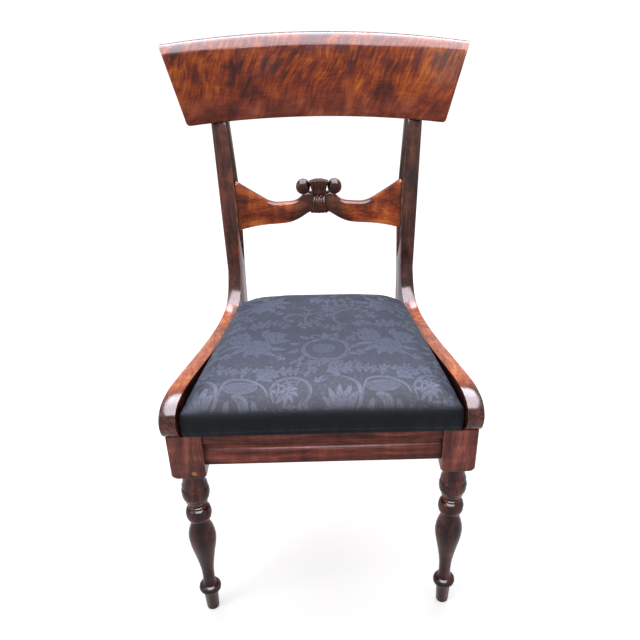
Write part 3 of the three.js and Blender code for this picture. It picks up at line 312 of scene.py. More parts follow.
level = add(tree, "ShaderNodeMath", {0: level, 1: 2.15}, operation="DIVIDE").outputs[0]
level = add(tree, "ShaderNodeMath", {0: centred, 1: upper, 2: level},
            operation="MULTIPLY_ADD").outputs[0]
amber = add(tree, "ShaderNodeValToRGB", {"Fac": level}, stops=[
    (0.36, "#42150e"), (0.67, "#c4681c"), (0.45, "#6c2410"), (0.51, "#8a3511"),
    (0.58, "#a44a13")]).outputs[0]
brown = add(tree, "ShaderNodeValToRGB", {"Fac": level}, stops=[
    (0.38, "#4a1d15"), (0.62, "#9c5038"), (0.5, "#7c3624")]).outputs[0]
lower = add(tree, "ShaderNodeMapRange", {
    "Value": height_up, "From Min": crest_low.z + 0.05, "From Max": crest_low.z + 0.015,
    "To Min": 0, "To Max": 0.85}).outputs[0]
tablet = add(tree, "ShaderNodeMix", {"Factor": lower, 6: amber, 7: brown},
             data_type="RGBA").outputs[2]
# The knot is a flat oval, 60 mm wide.
knot = add(tree, "ShaderNodeMapping", {
    "Vector": place, "Location": (-0.2, 0, -(crest_high.z - 0.004) / 0.006),
    "Scale": (1 / 0.03, 0, 1 / 0.006)}).outputs[0]
knot = add(tree, "ShaderNodeVectorMath", {0: knot}, operation="LENGTH").outputs["Value"]
knot = add(tree, "ShaderNodeMapRange", {
    "Value": knot, "From Min": 1.1, "From Max": 0.7, "To Min": 0, "To Max": 0.7}).outputs[0]
tablet = add(tree, "ShaderNodeMix", {"Factor": knot, 6: tablet, 7: linear("#2b1614")},
             data_type="RGBA").outputs[2]
french_polish(tree, place, tablet, lines, pores, "#b5683c", (0.1, 0.24), 0.2)
finish("crest_rail", fiddleback, 0.0012)


# Cross rail
# Two sawn wings, two turned ears and a bound sheaf, carved from one mahogany board. The
# carving is darker than the wings, whose middles are amber.
finish("cross_rail", polished_mahogany(
    "french_polished_mahogany_cross_rail", "X",
    ("#26100b", "#3c1b13", "#52291c", "#7a4630"),
    other=("#481a0d", "#843514", "#b45322", "#d67a3a"), where=[("X", 0.036, 0.062)],
    streak=(0.02, 0.12), mirror=0.2), 0.0006)


# Corner blocks and screws
# Beech blocks in the four corners of the seat rails, glued and held by two steel screws
# each. They stay bare and pale.
def sawn_beech(name, along):
    """Bare beech: pale, close-grained, with short dark flecks and saw marks."""
    material, tree = new_material(name)
    place = add(tree, "ShaderNodeTexCoord", {}).outputs["Object"]
    patterns = []
    for width, length, detail in ((0.009, 0.12, 3), (0.0009, 0.0035, 1), (0.05, 0.0022, 1)):
        scaled = add(tree, "ShaderNodeMapping",
                     {"Vector": place, "Scale": grain_scale(along, width, length)})
        patterns.append(add(tree, "ShaderNodeTexNoise", {
            "Vector": scaled.outputs[0], "Scale": 1, "Detail": detail}).outputs["Fac"])
    grain, flecks, saw = patterns
    wood = add(tree, "ShaderNodeValToRGB", {"Fac": grain}, stops=[
        (0.35, "#a67c50"), (0.65, "#cba479"), (0.5, "#bd9467")]).outputs[0]
    fleck = add(tree, "ShaderNodeMapRange", {
        "Value": flecks, "From Min": 0.6, "From Max": 0.7, "To Min": 0, "To Max": 0.45})
    wood = add(tree, "ShaderNodeMix", {
        "Factor": fleck.outputs[0], 6: wood, 7: linear("#7d5533")},
        data_type="RGBA").outputs[2]
    bump = add(tree, "ShaderNodeBump", {"Height": saw, "Distance": 0.0003, "Strength": 0.4})
    shader = add(tree, "ShaderNodeBsdfPrincipled", {
        "Base Color": wood, "Roughness": 0.68, "Normal": bump.outputs[0]})
    add(tree, "ShaderNodeOutputMaterial", {"Surface": shader.outputs[0]})
    return material


# Turned steel: grey, dulled by rust in patches.
steel, tree = new_material("turned_steel")
place = add(tree, "ShaderNodeTexCoord", {}).outputs["Object"]
rust = add(tree, "ShaderNodeTexNoise", {"Vector": place, "Scale": 350, "Detail": 4})
metal = add(tree, "ShaderNodeValToRGB", {"Fac": rust.outputs["Fac"]}, stops=[
    (0.42, "#8d8a86"), (0.66, "#5a3a28")]).outputs[0]
dull = add(tree, "ShaderNodeMapRange", {
    "Value": rust.outputs["Fac"], "From Min": 0.42, "From Max": 0.66,
    "To Min": 0.35, "To Max": 0.75})
shader = add(tree, "ShaderNodeBsdfPrincipled", {
    "Base Color": metal, "Roughness": dull.outputs[0], "Metallic": 0.9})
add(tree, "ShaderNodeOutputMaterial", {"Surface": shader.outputs[0]})

blocks = sawn_beech("sawn_beech_blocks", "X")
for corner in ("right_front", "left_front", "right_back", "left_back"):
    finish(f"{corner}_corner_block", blocks, 0.0006)
    for i in (1, 2):
        finish(f"{corner}_block_screw_{i}", steel, 0.0001)


# Seat frame
# Four bare beech members, half-lapped and glued at the corners. The webbing is tacked to
# their tops.
for side, along in (("front", "X"), ("back", "X"), ("right", "Y"), ("left", "Y")):
    finish(f"seat_frame_{side}", sawn_beech(f"sawn_beech_{side}_member", along), 0.0008)


# Webbing
# Six straps of woven jute, interlaced one over and one under, stretched and tacked on top
# of the seat frame.
def joined_copy(name):
    """A bmesh of a CAD node's surface, with the corners of its loose triangles merged."""
    form = bmesh.new()
    form.from_mesh(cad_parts[name].data)
    bmesh.ops.remove_doubles(form, verts=form.verts, dist=1e-6)
    return form


def new_piece(name, form, body, material):
    """Makes a piece of a bmesh, and lets it ride on its body."""
    data = bpy.data.meshes.new(name)
    form.to_mesh(data)
    form.free()
    data.materials.append(material)
    piece = bpy.data.objects.new(name, data)
    bpy.context.scene.collection.objects.link(piece)
    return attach(piece, body)


def woven_jute(name, thread, shades):
    """Plain-woven jute: crossing threads of uneven tone, each thread metres wide."""
    material, tree = new_material(name)
    place = add(tree, "ShaderNodeTexCoord", {}).outputs["Object"]
    around = add(tree, "ShaderNodeTexNoise", {"Vector": place, "Scale": 90, "Detail": 3})
    bent = add(tree, "ShaderNodeVectorMath", {
        0: around.outputs["Color"], 1: [thread * 0.5] * 3, 2: place},
        operation="MULTIPLY_ADD").outputs[0]
    # A wave texture has one band in 0.314 of its unit, divided by the scale.
    waves = [add(tree, "ShaderNodeTexWave", {"Vector": bent, "Scale": 0.314 / thread},
                 bands_direction=direction).outputs["Fac"] for direction in "XY"]
    cross = add(tree, "ShaderNodeMath", {0: waves[0], 1: waves[1]},
                operation="MULTIPLY").outputs[0]
    tone = add(tree, "ShaderNodeMath", {0: around.outputs["Fac"], 1: 0.5, 2: cross},
               operation="MULTIPLY_ADD").outputs[0]
    cloth = add(tree, "ShaderNodeValToRGB", {"Fac": tone}, stops=[
        (0.2, shades[0]), (0.95, shades[2]), (0.5, shades[1])])
    bump = add(tree, "ShaderNodeBump", {
        "Height": cross, "Distance": 0.0004, "Strength": 0.6})
    shader = add(tree, "ShaderNodeBsdfPrincipled", {
        "Base Color": cloth.outputs[0], "Roughness": 0.85, "Normal": bump.outputs[0],
        "Sheen Weight": 0.2, "Sheen Roughness": 0.5})
    add(tree, "ShaderNodeOutputMaterial", {"Surface": shader.outputs[0]})
    return material


webbing = woven_jute("woven_jute_webbing", 0.0018, ("#6f5334", "#a5835a", "#c9aa7c"))
strap_thickness = 0.0012
strap_rise = 0.00075
for way, other, axis in (("long", "cross", 1), ("cross", "long", 0)):
    crossings = [sum(corner[axis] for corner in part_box(f"webbing_{other}_{i}")) / 2
                 for i in (1, 2, 3)]
    if way == "cross":
        crossings.sort()
    for i in (1, 2, 3):
        node = f"webbing_{way}_{i}"
        low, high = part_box(node)
        over = 1 if (i % 2 == 1) == (way == "long") else -1
        strap = bmesh.new()
        steps_along, steps_across = 120, 6
        steps = (steps_along, steps_across) if way == "cross" else (steps_across, steps_along)
        bmesh.ops.create_grid(strap, x_segments=steps[0], y_segments=steps[1], size=0.5)
        bmesh.ops.scale(strap, verts=strap.verts, vec=(*(high - low).xy, 1))
        bmesh.ops.translate(strap, verts=strap.verts, vec=(low + high) / 2)
        half_width = (high - low)[1 - axis] / 2
        # The strap lies over or under each strap that it crosses, and eases down between.
        for vert in strap.verts:
            lift = -1
            for n, crossing in enumerate(crossings):
                far = abs(vert.co[axis] - crossing) / half_width
                near = max(0, min(1, 1.6 - far / 1.05))
                rise = over * (-1) ** n
                lift += (rise - lift) * near * near * (3 - 2 * near)
            vert.co.z += lift * strap_rise
        bmesh.ops.recalc_face_normals(strap, faces=strap.faces)
        bmesh.ops.solidify(strap, geom=strap.faces, thickness=strap_thickness)
        strap = new_piece(f"strap_{way}_{i}", strap, "drop_in_seat", webbing)
        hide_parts(node)


# Hessian
# Loosely woven jute cloth, stretched over the webbing and tacked round its edge.
hessian = joined_copy("hessian")
hessian = new_piece("hessian_sheet", hessian, "drop_in_seat",
                    woven_jute("woven_jute_hessian", 0.0014, ("#7c6544", "#b39a72", "#d6c19a")))
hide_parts("hessian")


# Cushion
# Hair stuffing under one piece of black damask, which is drawn down over the seat frame and
# tacked under it. The crown is full in front and settled at the back.
cushion_voxel = 0.004
cushion_base = 0.006  # below this height over its underside the form keeps its flat base
cushion_held = 0.012  # up to this height over its underside the tacked cloth is held
crown_base = 0.03  # above this height the sides turn into the crown
cushion_start_inset = 0.0025  # the middle of the crown starts this far down and swells up
cushion_swell = 0.004  # the most that the crown may rise in the simulation
cushion_side_swell = 0.0006  # the most that a side may move between the rails
cushion_low, cushion_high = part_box("seat_cover")
corners = joined_copy("seat_cover")
cushion = bmesh.new()
for vert in corners.verts:
    cushion.verts.new(vert.co)
corners.free()
bmesh.ops.convex_hull(cushion, input=cushion.verts)
bmesh.ops.delete(cushion, geom=[v for v in cushion.verts if not v.link_faces],
                 context="VERTS")
damask, damask_tree = new_material("woven_cotton_damask")
cushion = new_piece("seat_cushion", cushion, "drop_in_seat", damask)


def apply_modifiers(piece):
    """Keeps what the piece's modifiers make and removes them."""
    graph = bpy.context.evaluated_depsgraph_get()
    data = bpy.data.meshes.new_from_object(piece.evaluated_get(graph))
    piece.modifiers.clear()
    piece.data = data


remesh = cushion.modifiers.new("remesh", "REMESH")
remesh.mode = "VOXEL"
remesh.voxel_size = cushion_voxel
apply_modifiers(cushion)
outer = cushion.vertex_groups.new(name="outer")
outer.add([v.index for v in cushion.data.vertices if v.co.z > cushion_low.z + cushion_base],
          1, "REPLACE")
fit = cushion.modifiers.new("fit", "SHRINKWRAP")
fit.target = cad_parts["seat_cover"]
fit.vertex_group = "outer"
apply_modifiers(cushion)
cushion.vertex_groups.clear()


def ease(piece, rounds, chosen):
    """Smooths the height and depth of the vertices that are chosen, rounds times."""
    form = bmesh.new()
    form.from_mesh(piece.data)
    picked = [vert for vert in form.verts if chosen(vert.co)]
    for _ in range(rounds):
        bmesh.ops.smooth_vert(form, verts=picked, factor=0.5, use_axis_x=False,
                              use_axis_y=True, use_axis_z=True)
    form.to_mesh(piece.data)
    form.free()


# The inset fades out between 140 and 190 mm from the middle.
for vert in cushion.data.vertices:
    inner = max(0, min(1, (0.19 - abs(vert.co.x)) / 0.05))
    vert.co -= vert.normal * cushion_start_inset * inner * max(0, vert.normal.z) ** 2
start = [vert.co.copy() for vert in cushion.data.vertices]
held = cushion.vertex_groups.new(name="held")
held.add([v.index for v in cushion.data.vertices
          if v.co.z < cushion_low.z + cushion_held], 1, "REPLACE")
cloth = cushion.modifiers.new("cloth", "CLOTH")
cloth.settings.vertex_group_mass = "held"
cloth.settings.use_pressure = True
cloth.settings.uniform_pressure_force = 4
cloth.settings.effector_weights.gravity = 0
for step in range(1, 21):
    bpy.context.scene.frame_set(step)
apply_modifiers(cushion)
bpy.context.scene.frame_set(1)
cushion.vertex_groups.clear()
# The cap on the movement widens over 20 mm of height, from the sides to the crown.
for vert, from_place in zip(cushion.data.vertices, start):
    move = vert.co - from_place
    share = max(0, min(1, (from_place.z - cushion_low.z - crown_base) / 0.02))
    most = cushion_side_swell + share * (cushion_swell - cushion_side_swell)
    if move.length > most:
        move.length = most
    vert.co = from_place + move
ease(cushion, 4, lambda place: (
    abs(place.x) < 0.145 and place.z > cushion_low.z + crown_base))
# The stuffing rolls softly over the front edge, down to 16 mm over the hem.
front_roll = cushion_low.y + 0.04
roll_end = cushion_low.z + 0.016
ease(cushion, 40, lambda place: place.y < front_roll and place.z > roll_end)
# The cloth is pushed out past the lines between the seat frame's outer corners.
cloth_over_frame = 0.0014
cloth_low = cushion_low.z + 0.001
cloth_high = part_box("hessian")[1].z + 0.004
frame_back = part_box("seat_frame_back")[1].y
frame_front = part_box("seat_frame_front")[0].y
frame_side = joined_copy("seat_frame_right")
front_corner = max((vert.co for vert in frame_side.verts), key=lambda co: co.x - co.y).copy()
back_corner = max((vert.co for vert in frame_side.verts), key=lambda co: co.x + co.y).copy()
frame_side.free()
for vert in cushion.data.vertices:
    if not cloth_low < vert.co.z < cloth_high:
        continue
    if vert.normal.y > 0.7:
        vert.co.y = max(vert.co.y, frame_back + cloth_over_frame)
    elif vert.normal.y < -0.7:
        vert.co.y = min(vert.co.y, frame_front - cloth_over_frame)
    elif abs(vert.normal.x) > 0.7:
        along = (vert.co.y - front_corner.y) / (back_corner.y - front_corner.y)
        side = front_corner.x + along * (back_corner.x - front_corner.x)
        vert.co.x = math.copysign(max(abs(vert.co.x), side + cloth_over_frame), vert.co.x)
finer = cushion.modifiers.new("finer", "SUBSURF")
finer.levels = finer.render_levels = 1
apply_modifiers(cushion)

# The seat frame, the webbing and the hessian fill its hollow, and the hem turns in below.
hollow = bmesh.new()
for side in ("front", "back", "right", "left"):
    corners = joined_copy(f"seat_frame_{side}")
    for vert in corners.verts:
        hollow.verts.new(vert.co)
    corners.free()
bmesh.ops.convex_hull(hollow, input=hollow.verts)
bmesh.ops.delete(hollow, geom=[v for v in hollow.verts if not v.link_faces],
                 context="VERTS")
frame_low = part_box("seat_frame_front")[0].z
hessian_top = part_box("hessian")[1].z
clearance = 0.0003
hem_width = 0.024
mouth = hollow.copy()
for vert in hollow.verts:
    vert.co.z = frame_low - clearance if vert.co.z < frame_low + 0.01 else (
        hessian_top + clearance)
    vert.co.xy += vert.co.xy.normalized() * clearance
middle = Vector((0, (cushion_low.y + cushion_high.y) / 2))
half = Vector((cushion_high.x, (cushion_high.y - cushion_low.y) / 2))
for vert in mouth.verts:
    vert.co.z = cushion_low.z - 0.01 if vert.co.z < frame_low + 0.01 else (
        frame_low + 0.002)
    for axis in (0, 1):
        vert.co[axis] = middle[axis] + (vert.co[axis] - middle[axis]) * (
            1 - hem_width / half[axis])
for name, cutter in (("hollow", hollow), ("mouth", mouth)):
    bmesh.ops.recalc_face_normals(cutter, faces=cutter.faces)
    tool = new_piece(name, cutter, "drop_in_seat", cushion.data.materials[0])
    cut = cushion.modifiers.new(name, "BOOLEAN")
    cut.operation = "DIFFERENCE"
    cut.object = tool
    cut.solver = "MANIFOLD"
    apply_modifiers(cushion)
    bpy.data.objects.remove(tool)
for face in cushion.data.polygons:
    face.use_smooth = True

# Every vertex holds its place on the flat cloth in millimetres: across the seat, and back
# from the front edge, with the front drop and the sides folded out.
places = numpy.empty(3 * len(cushion.data.vertices))
cushion.data.vertices.foreach_get("co", places)
places = 1000 * places.reshape(-1, 3)
crown_edge = 1000 * cushion_low.z + 54
fold_width = 16
drop = (crown_edge - places[:, 2]).clip(0)
back = places[:, 1] - 1000 * cushion_low.y
at_front = ((fold_width - back) / fold_width).clip(0, 1)
# The sides fold out near this half width, which only the front of the cushion reaches.
reach = numpy.interp(back, (0, 402), (211.5, 178))
at_side = ((abs(places[:, 0]) - reach + fold_width) / fold_width).clip(0, 1)
at_side *= 1 - at_front
cloth = numpy.stack((places[:, 0] + numpy.sign(places[:, 0]) * at_side * drop,
                     back - at_front * drop), 1)

# The figure is a common damask layout, drawn in millimetres on the flat cloth: roses, leaves,
# scrolls and nets, repeated across the width. Each vertex holds how far it lies outside them.
repeat = 214
far_outside = 9.0
figure = numpy.full(len(cloth), far_outside)
net = numpy.full(len(cloth), far_outside)


def smooth_path(points):
    """A close row of points on a smooth curve through the given ones."""
    ends = numpy.array([points[0], *points, points[-1]], float)
    share = numpy.linspace(0, 1, 7)[:-1, None]
    path = []
    for a, b, c, d in zip(ends, ends[1:], ends[2:], ends[3:]):
        path.append(b + 0.5 * share * (c - a + share * (
            2 * a - 5 * b + 4 * c - d + share * (3 * b - a - 3 * c + d))))
    return numpy.vstack([*path, ends[-1:]])


def stroke(points, radii, gap=1.3, cut=False):
    """Weaves a band of satin along a path, or cuts a line of the ground into one."""
    path = smooth_path(points)
    places = numpy.linspace(0, 1, len(path))
    radius = numpy.interp(places, numpy.linspace(0, 1, len(radii)), radii)
    margin = radius.max() + gap + 2
    for shift in (-repeat, 0, repeat):
        moved = path + (shift, 0)
        inside = (cloth > moved.min(0) - margin) & (cloth < moved.max(0) + margin)
        near = numpy.flatnonzero(inside.all(1))
        if not len(near):
            continue
        along = numpy.diff(moved, axis=0)
        offset = cloth[near, None] - moved[:-1]
        share = ((offset * along).sum(2) / (along ** 2).sum(1)).clip(0, 1)
        offset -= share[..., None] * along
        edge = numpy.linalg.norm(offset, axis=2) - radius[:-1] - share * numpy.diff(radius)
        edge = edge.min(1)
        if cut:
            figure[near] = numpy.maximum(figure[near], -edge)
        else:
            figure[near] = numpy.minimum(numpy.maximum(figure[near], gap - edge), edge)


def leaf(x, y, degrees, length, width, bend=0.12):
    """A pointed leaf from its stalk at x, y, with a cut vein where it is wide enough."""
    turn = math.radians(degrees)
    ahead = numpy.array((math.cos(turn), math.sin(turn)))
    aside = numpy.array((-math.sin(turn), math.cos(turn)))
    path = [(x, y) + length * (share * ahead + 4 * bend * share * (1 - share) * aside)
            for share in (0, 0.33, 0.66, 1)]
    stroke(path, [width * part for part in (0.12, 0.42, 0.5, 0.34, 0.03)])
    if width > 6:
        stroke(path[:3], (0.5, 0.3), cut=True)


def acanthus(points, width, lobes):
    """A curved stem with pointed lobes down both of its sides."""
    path = smooth_path(points)
    for i in range(lobes):
        place = int((i + 0.3) / lobes * (len(path) - 2))
        ahead = path[place + 1] - path[place]
        degrees = math.degrees(math.atan2(ahead[1], ahead[0]))
        size = width * (1 - 0.55 * i / lobes)
        for side in (-1, 1):
            leaf(*path[place], degrees + side * 58, size, 0.46 * size, -0.16 * side)
    stroke(points, (0.13 * width, 0.1 * width, 0.3))


def rose(x, y, size, turn=0):
    """A full rose: three rings of petals, the inner ones over the outer ones."""
    for count, ring, petal in ((7, 0.72, 0.3), (5, 0.4, 0.25), (3, 0.14, 0.17)):
        for i in range(count):
            middle = turn + ring + 2 * math.pi * i / count
            stroke([(x + size * ring * math.cos(middle + step),
                     y + size * ring * math.sin(middle + step)) for step in (-0.4, 0, 0.4)],
                   [size * petal * part for part in (0.65, 1, 0.65)], 1.1)


def scroll(x, y, size, begin, degrees, width, close=0.7):
    """A band that winds inwards to a round eye."""
    path = []
    for i in range(9):
        turn = math.radians(begin + degrees * i / 8)
        reach = size * (1 - close * i / 8)
        path.append((x + reach * math.cos(turn), y + reach * math.sin(turn)))
    stroke(path, [width * part for part in (0.15, 0.5, 0.5, 0.4, 0.35)])
    stroke(path[1:-1], (0.45, 0.45), cut=True)
    stroke([path[-2], path[-1]], (0.2 * width, 0.75 * width))


def oval_net(x, y, half_x, half_y):
    """A net of fine lines inside an oval band."""
    for shift in (-repeat, 0, repeat):
        offset = (cloth - (x + shift, y)) / (half_x, half_y)
        edge = (numpy.linalg.norm(offset, axis=1) - 1) * min(half_x, half_y)
        numpy.minimum(net, edge, out=net)
        numpy.maximum(figure, -0.9 - edge, out=figure)
    turns = [2 * math.pi * i / 12 for i in range(13)]
    stroke([(x + half_x * math.cos(turn), y + half_y * math.sin(turn)) for turn in turns],
           (1.1, 1.1))


# On the front drop: leaves that hang, and a net between them.
for x, y, degrees, length, width in (
        (-70, -6, 250, 34, 15), (-70, -6, 285, 30, 12), (-44, -4, 262, 42, 16),
        (-14, -8, 235, 34, 13), (-14, -8, 280, 36, 14), (20, -4, 245, 30, 12),
        (52, -6, 265, 38, 16), (76, -4, 290, 34, 13), (76, -8, 245, 28, 11)):
    leaf(x, y, degrees, length, width)
# Along the front edge: round scrolls with ferns in them, fans and netted straps.
scroll(-44, 38, 33, 215, -330, 6, 0.25)
for degrees, length in ((245, 24), (275, 26), (305, 27), (335, 26), (5, 24), (35, 20)):
    leaf(-58, 40, degrees, length, 8, 0.1)
acanthus([(-66, 30), (-62, 50), (-46, 58), (-28, 52)], 13, 4)
for degrees, length in ((172, 42), (150, 47), (129, 50), (108, 48), (87, 42), (66, 33)):
    leaf(42, 6, degrees, length, 13, 0.14)
stroke([(50, 4), (58, 26), (54, 52), (36, 68), (10, 74)], (2.5, 3.2, 2.4, 0.6))
oval_net(92, 47, 25, 11)
stroke([(60, 30), (70, 62), (98, 66), (124, 50), (134, 30)], (0.8, 2.2, 2.6, 2.2, 0.8))
stroke([(84, 30), (95, 24), (99, 8), (92, -8)], (4, 7.5, 7.5, 3))
for aside in (-3, 0, 3):
    stroke([(87 + aside, 28), (95 + aside, 22), (99 + aside, 8), (93 + aside, -4)],
           (0.5, 0.5), cut=True)
leaf(112, 22, 265, 32, 11)
leaf(76, 24, 270, 28, 10, -0.12)
acanthus([(-16, 0), (-40, 4), (-66, 0), (-92, 10)], 20, 6)
acanthus([(-96, 66), (-76, 82), (-44, 86), (-14, 74)], 22, 7)
acanthus([(10, 84), (40, 94), (74, 90), (104, 74)], 22, 7)
# Behind them: a netted oval between scrolls, and bouquets of roses.
acanthus([(4, 122), (-10, 108), (-34, 106), (-52, 118)], 17, 5)
acanthus([(4, 122), (20, 106), (44, 104), (62, 114)], 17, 5)
scroll(8, 152, 37, -78, 150, 9, 0.1)
scroll(2, 152, 33, 258, -150, 7, 0.1)
oval_net(4, 153, 17, 14)
scroll(-12, 190, 14, 300, 250, 5)
scroll(22, 190, 14, 240, -250, 5)
leaf(5, 182, 90, 24, 12, 0)
for degrees in (-30, 0, 30, 60, 125, 155, 185, 215):
    turn = math.radians(degrees)
    leaf(5 + 42 * math.cos(turn), 154 + 40 * math.sin(turn), degrees + 25, 20, 9)
for degrees, far, length in ((12, 26, 34), (38, 40, 30), (75, 44, 26), (112, 42, 30),
                             (150, 34, 32), (186, 24, 36), (215, 20, 34), (245, 16, 30),
                             (275, 16, 28), (310, 18, 36), (340, 22, 32)):
    turn = math.radians(degrees)
    leaf(-104 + 0.8 * far * math.cos(turn), 168 + 0.7 * far * math.sin(turn), degrees,
         length, 12, 0.12 if degrees < 180 else -0.12)
rose(-78, 196, 18, 0.4)
rose(-130, 192, 15, 0.9)
rose(-106, 162, 25)
# At the back: open scrolls with buds, and more roses.
scroll(52, 262, 38, 60, 235, 6, 0.35)
for degrees in (20, 50, 80, 110, 140):
    leaf(70, 232, degrees, 22, 9)
acanthus([(40, 226), (18, 226), (-4, 238), (-22, 258)], 15, 5)
acanthus([(92, 262), (84, 284), (62, 302), (36, 306)], 15, 5)
scroll(-50, 262, 24, 330, 290, 6, 0.6)
acanthus([(-26, 272), (-22, 296), (-40, 312), (-62, 312)], 13, 4)
for degrees, far, length in ((0, 22, 30), (40, 22, 32), (85, 20, 28), (130, 22, 32),
                             (175, 22, 30), (215, 18, 30), (250, 18, 26), (290, 18, 30),
                             (325, 20, 32)):
    turn = math.radians(degrees)
    leaf(-102 + 0.8 * far * math.cos(turn), 330 + 0.7 * far * math.sin(turn), degrees,
         length, 12)
rose(-84, 342, 15, 0.6)
rose(-106, 322, 22, 0.2)
acanthus([(-20, 348), (4, 336), (34, 338), (58, 352)], 20, 6)
acanthus([(-118, 236), (-96, 250), (-74, 246), (-56, 232)], 19, 6)
acanthus([(8, 290), (24, 312), (52, 318), (76, 306)], 18, 6)
acanthus([(-40, 232), (-16, 244), (0, 268), (-4, 292)], 18, 6)
acanthus([(86, 214), (66, 206), (50, 190), (52, 170)], 17, 5)
acanthus([(-146, 372), (-124, 380), (-96, 374), (-74, 380)], 19, 6)
scroll(18, 366, 22, 200, -260, 6)
# Sprigs of three or four small leaves fill the ground between.
for x, y, degrees in ((-18, 88, 20), (30, 92, 160), (74, 86, 30), (-78, 92, 150), (-100, 84, 60),
                      (-60, 128, 200), (58, 138, 0), (-58, 228, 120), (-98, 232, 60),
                      (94, 232, 30), (24, 214, 70), (14, 270, 90), (-70, 290, 200),
                      (4, 310, 20), (60, 326, 70), (100, 88, 120), (-40, 372, 40),
                      (-2, 58, 100), (66, 374, 100), (-150, 262, 45)):
    for turn, length in ((-70, 11), (-25, 15), (20, 15), (65, 11)):
        leaf(x, y, degrees + turn, length, 5.2)

for name, kind, values in (("cloth", "FLOAT_VECTOR", numpy.pad(cloth, ((0, 0), (0, 1)))),
                           ("figure", "FLOAT", figure), ("net", "FLOAT", net)):
    layer = cushion.data.attributes.new(name, kind, "POINT")
    layer.data.foreach_set("vector" if name == "cloth" else "value", values.ravel())

# Satin figures on a ribbed ground in one black yarn. The upward-facing top is painted a paler
# blue-grey as painted light from above, and the satin is painted paler still there as a painted
# sheen, while the front drop stays black.
tree = damask_tree
flat = add(tree, "ShaderNodeAttribute", {}, attribute_name="cloth").outputs["Vector"]
figure_edge = add(tree, "ShaderNodeAttribute", {}, attribute_name="figure").outputs["Fac"]
net_edge = add(tree, "ShaderNodeAttribute", {}, attribute_name="net").outputs["Fac"]
satin = add(tree, "ShaderNodeMapRange", {
    "Value": figure_edge, "From Min": 0.5, "From Max": -0.5, "To Min": 0, "To Max": 1}).outputs[0]
# A wave texture has one band in 0.314 of its unit, divided by the scale. The net's lines
# are 3.4 mm apart and the ribs 1.5 mm, drawn coarser than the real half millimetre.
net_lines = []
for degrees in (45, -45):
    turned = add(tree, "ShaderNodeMapping", {
        "Vector": flat, "Rotation": (0, 0, math.radians(degrees))}).outputs[0]
    wave = add(tree, "ShaderNodeTexWave", {"Vector": turned, "Scale": 0.314 / 3.4},
               bands_direction="X").outputs["Fac"]
    net_lines.append(add(tree, "ShaderNodeMapRange", {
        "Value": wave, "From Min": 0.62, "From Max": 0.88, "To Min": 0, "To Max": 1}).outputs[0])
net_line = add(tree, "ShaderNodeMath", {0: net_lines[0], 1: net_lines[1]},
               operation="MAXIMUM").outputs[0]
in_net = add(tree, "ShaderNodeMapRange", {
    "Value": net_edge, "From Min": -0.9, "From Max": -1.4, "To Min": 0, "To Max": 1}).outputs[0]
net_line = add(tree, "ShaderNodeMath", {0: net_line, 1: in_net}, operation="MULTIPLY").outputs[0]
satin = add(tree, "ShaderNodeMath", {0: satin, 1: net_line}, operation="MAXIMUM").outputs[0]
# Fine engraved lines run through the satin, and fainter ones over the ground.
for scale, inside, outside in ((0.16, -0.75, 0.0), (0.1, 0.0, 0.4)):
    wander = add(tree, "ShaderNodeTexNoise", {"Vector": flat, "Scale": scale, "Detail": 2})
    off = add(tree, "ShaderNodeMath", {0: wander.outputs["Fac"], 1: 0.5}, operation="SUBTRACT")
    off = add(tree, "ShaderNodeMath", {0: off.outputs[0]}, operation="ABSOLUTE").outputs[0]
    line = add(tree, "ShaderNodeMapRange", {
        "Value": off, "From Min": 0.03, "From Max": 0.008, "To Min": 0, "To Max": 1}).outputs[0]
    strength = add(tree, "ShaderNodeMapRange", {
        "Value": satin, "From Min": 0, "From Max": 1, "To Min": outside, "To Max": inside})
    satin = add(tree, "ShaderNodeMath", {0: line, 1: strength.outputs[0], 2: satin},
                operation="MULTIPLY_ADD").outputs[0]
ribs = add(tree, "ShaderNodeTexWave", {
    "Vector": flat, "Scale": 0.314 / 1.5, "Distortion": 0.6, "Detail": 1},
    bands_direction="X").outputs["Fac"]
clouded = add(tree, "ShaderNodeTexNoise", {"Vector": flat, "Scale": 0.02, "Detail": 3})
thread = add(tree, "ShaderNodeTexNoise", {"Vector": flat, "Scale": 0.9, "Detail": 2})
upward = add(tree, "ShaderNodeNewGeometry", {}).outputs["Normal"]
upward = add(tree, "ShaderNodeSeparateXYZ", {0: upward}).outputs["Z"]
painted_top_light = add(tree, "ShaderNodeMapRange", {
    "Value": upward, "From Min": 0.45, "From Max": 0.99, "To Min": 0, "To Max": 1}).outputs[0]
# The painted top light also fades out along the front edge, so the cloth there is painted dark as
# painted shade, up to an uneven border some 40 mm behind it.
from_front = add(tree, "ShaderNodeSeparateXYZ", {0: flat}).outputs["Y"]
from_front = add(tree, "ShaderNodeMath", {0: clouded.outputs["Fac"], 1: 60.0, 2: from_front},
                 operation="MULTIPLY_ADD").outputs[0]
behind = add(tree, "ShaderNodeMapRange", {
    "Value": from_front, "From Min": 24, "From Max": 72, "To Min": 0.15, "To Max": 1}).outputs[0]
painted_top_light = add(tree, "ShaderNodeMath", {0: painted_top_light, 1: behind}, operation="MULTIPLY").outputs[0]
# In each pair the first colour is the black cloth itself and the second is the painted-lit top.
tones = []
for dark, pale in (("#0d1014", "#303643"), ("#12151a", "#565f75")):
    tones.append(add(tree, "ShaderNodeMix", {
        "Factor": painted_top_light, 6: linear(dark), 7: linear(pale)}, data_type="RGBA").outputs[2])
yarn = add(tree, "ShaderNodeMix", {"Factor": satin, 6: tones[0], 7: tones[1]},
           data_type="RGBA").outputs[2]
uneven = add(tree, "ShaderNodeMath", {0: clouded.outputs["Fac"], 1: 0.5, 2: 0.5},
             operation="MULTIPLY_ADD").outputs[0]
uneven = add(tree, "ShaderNodeMath", {0: thread.outputs["Fac"], 1: 0.5, 2: uneven},
             operation="MULTIPLY_ADD").outputs[0]
ribbed = add(tree, "ShaderNodeMath", {0: ribs, 1: 0.25, 2: uneven},
             operation="MULTIPLY_ADD").outputs[0]
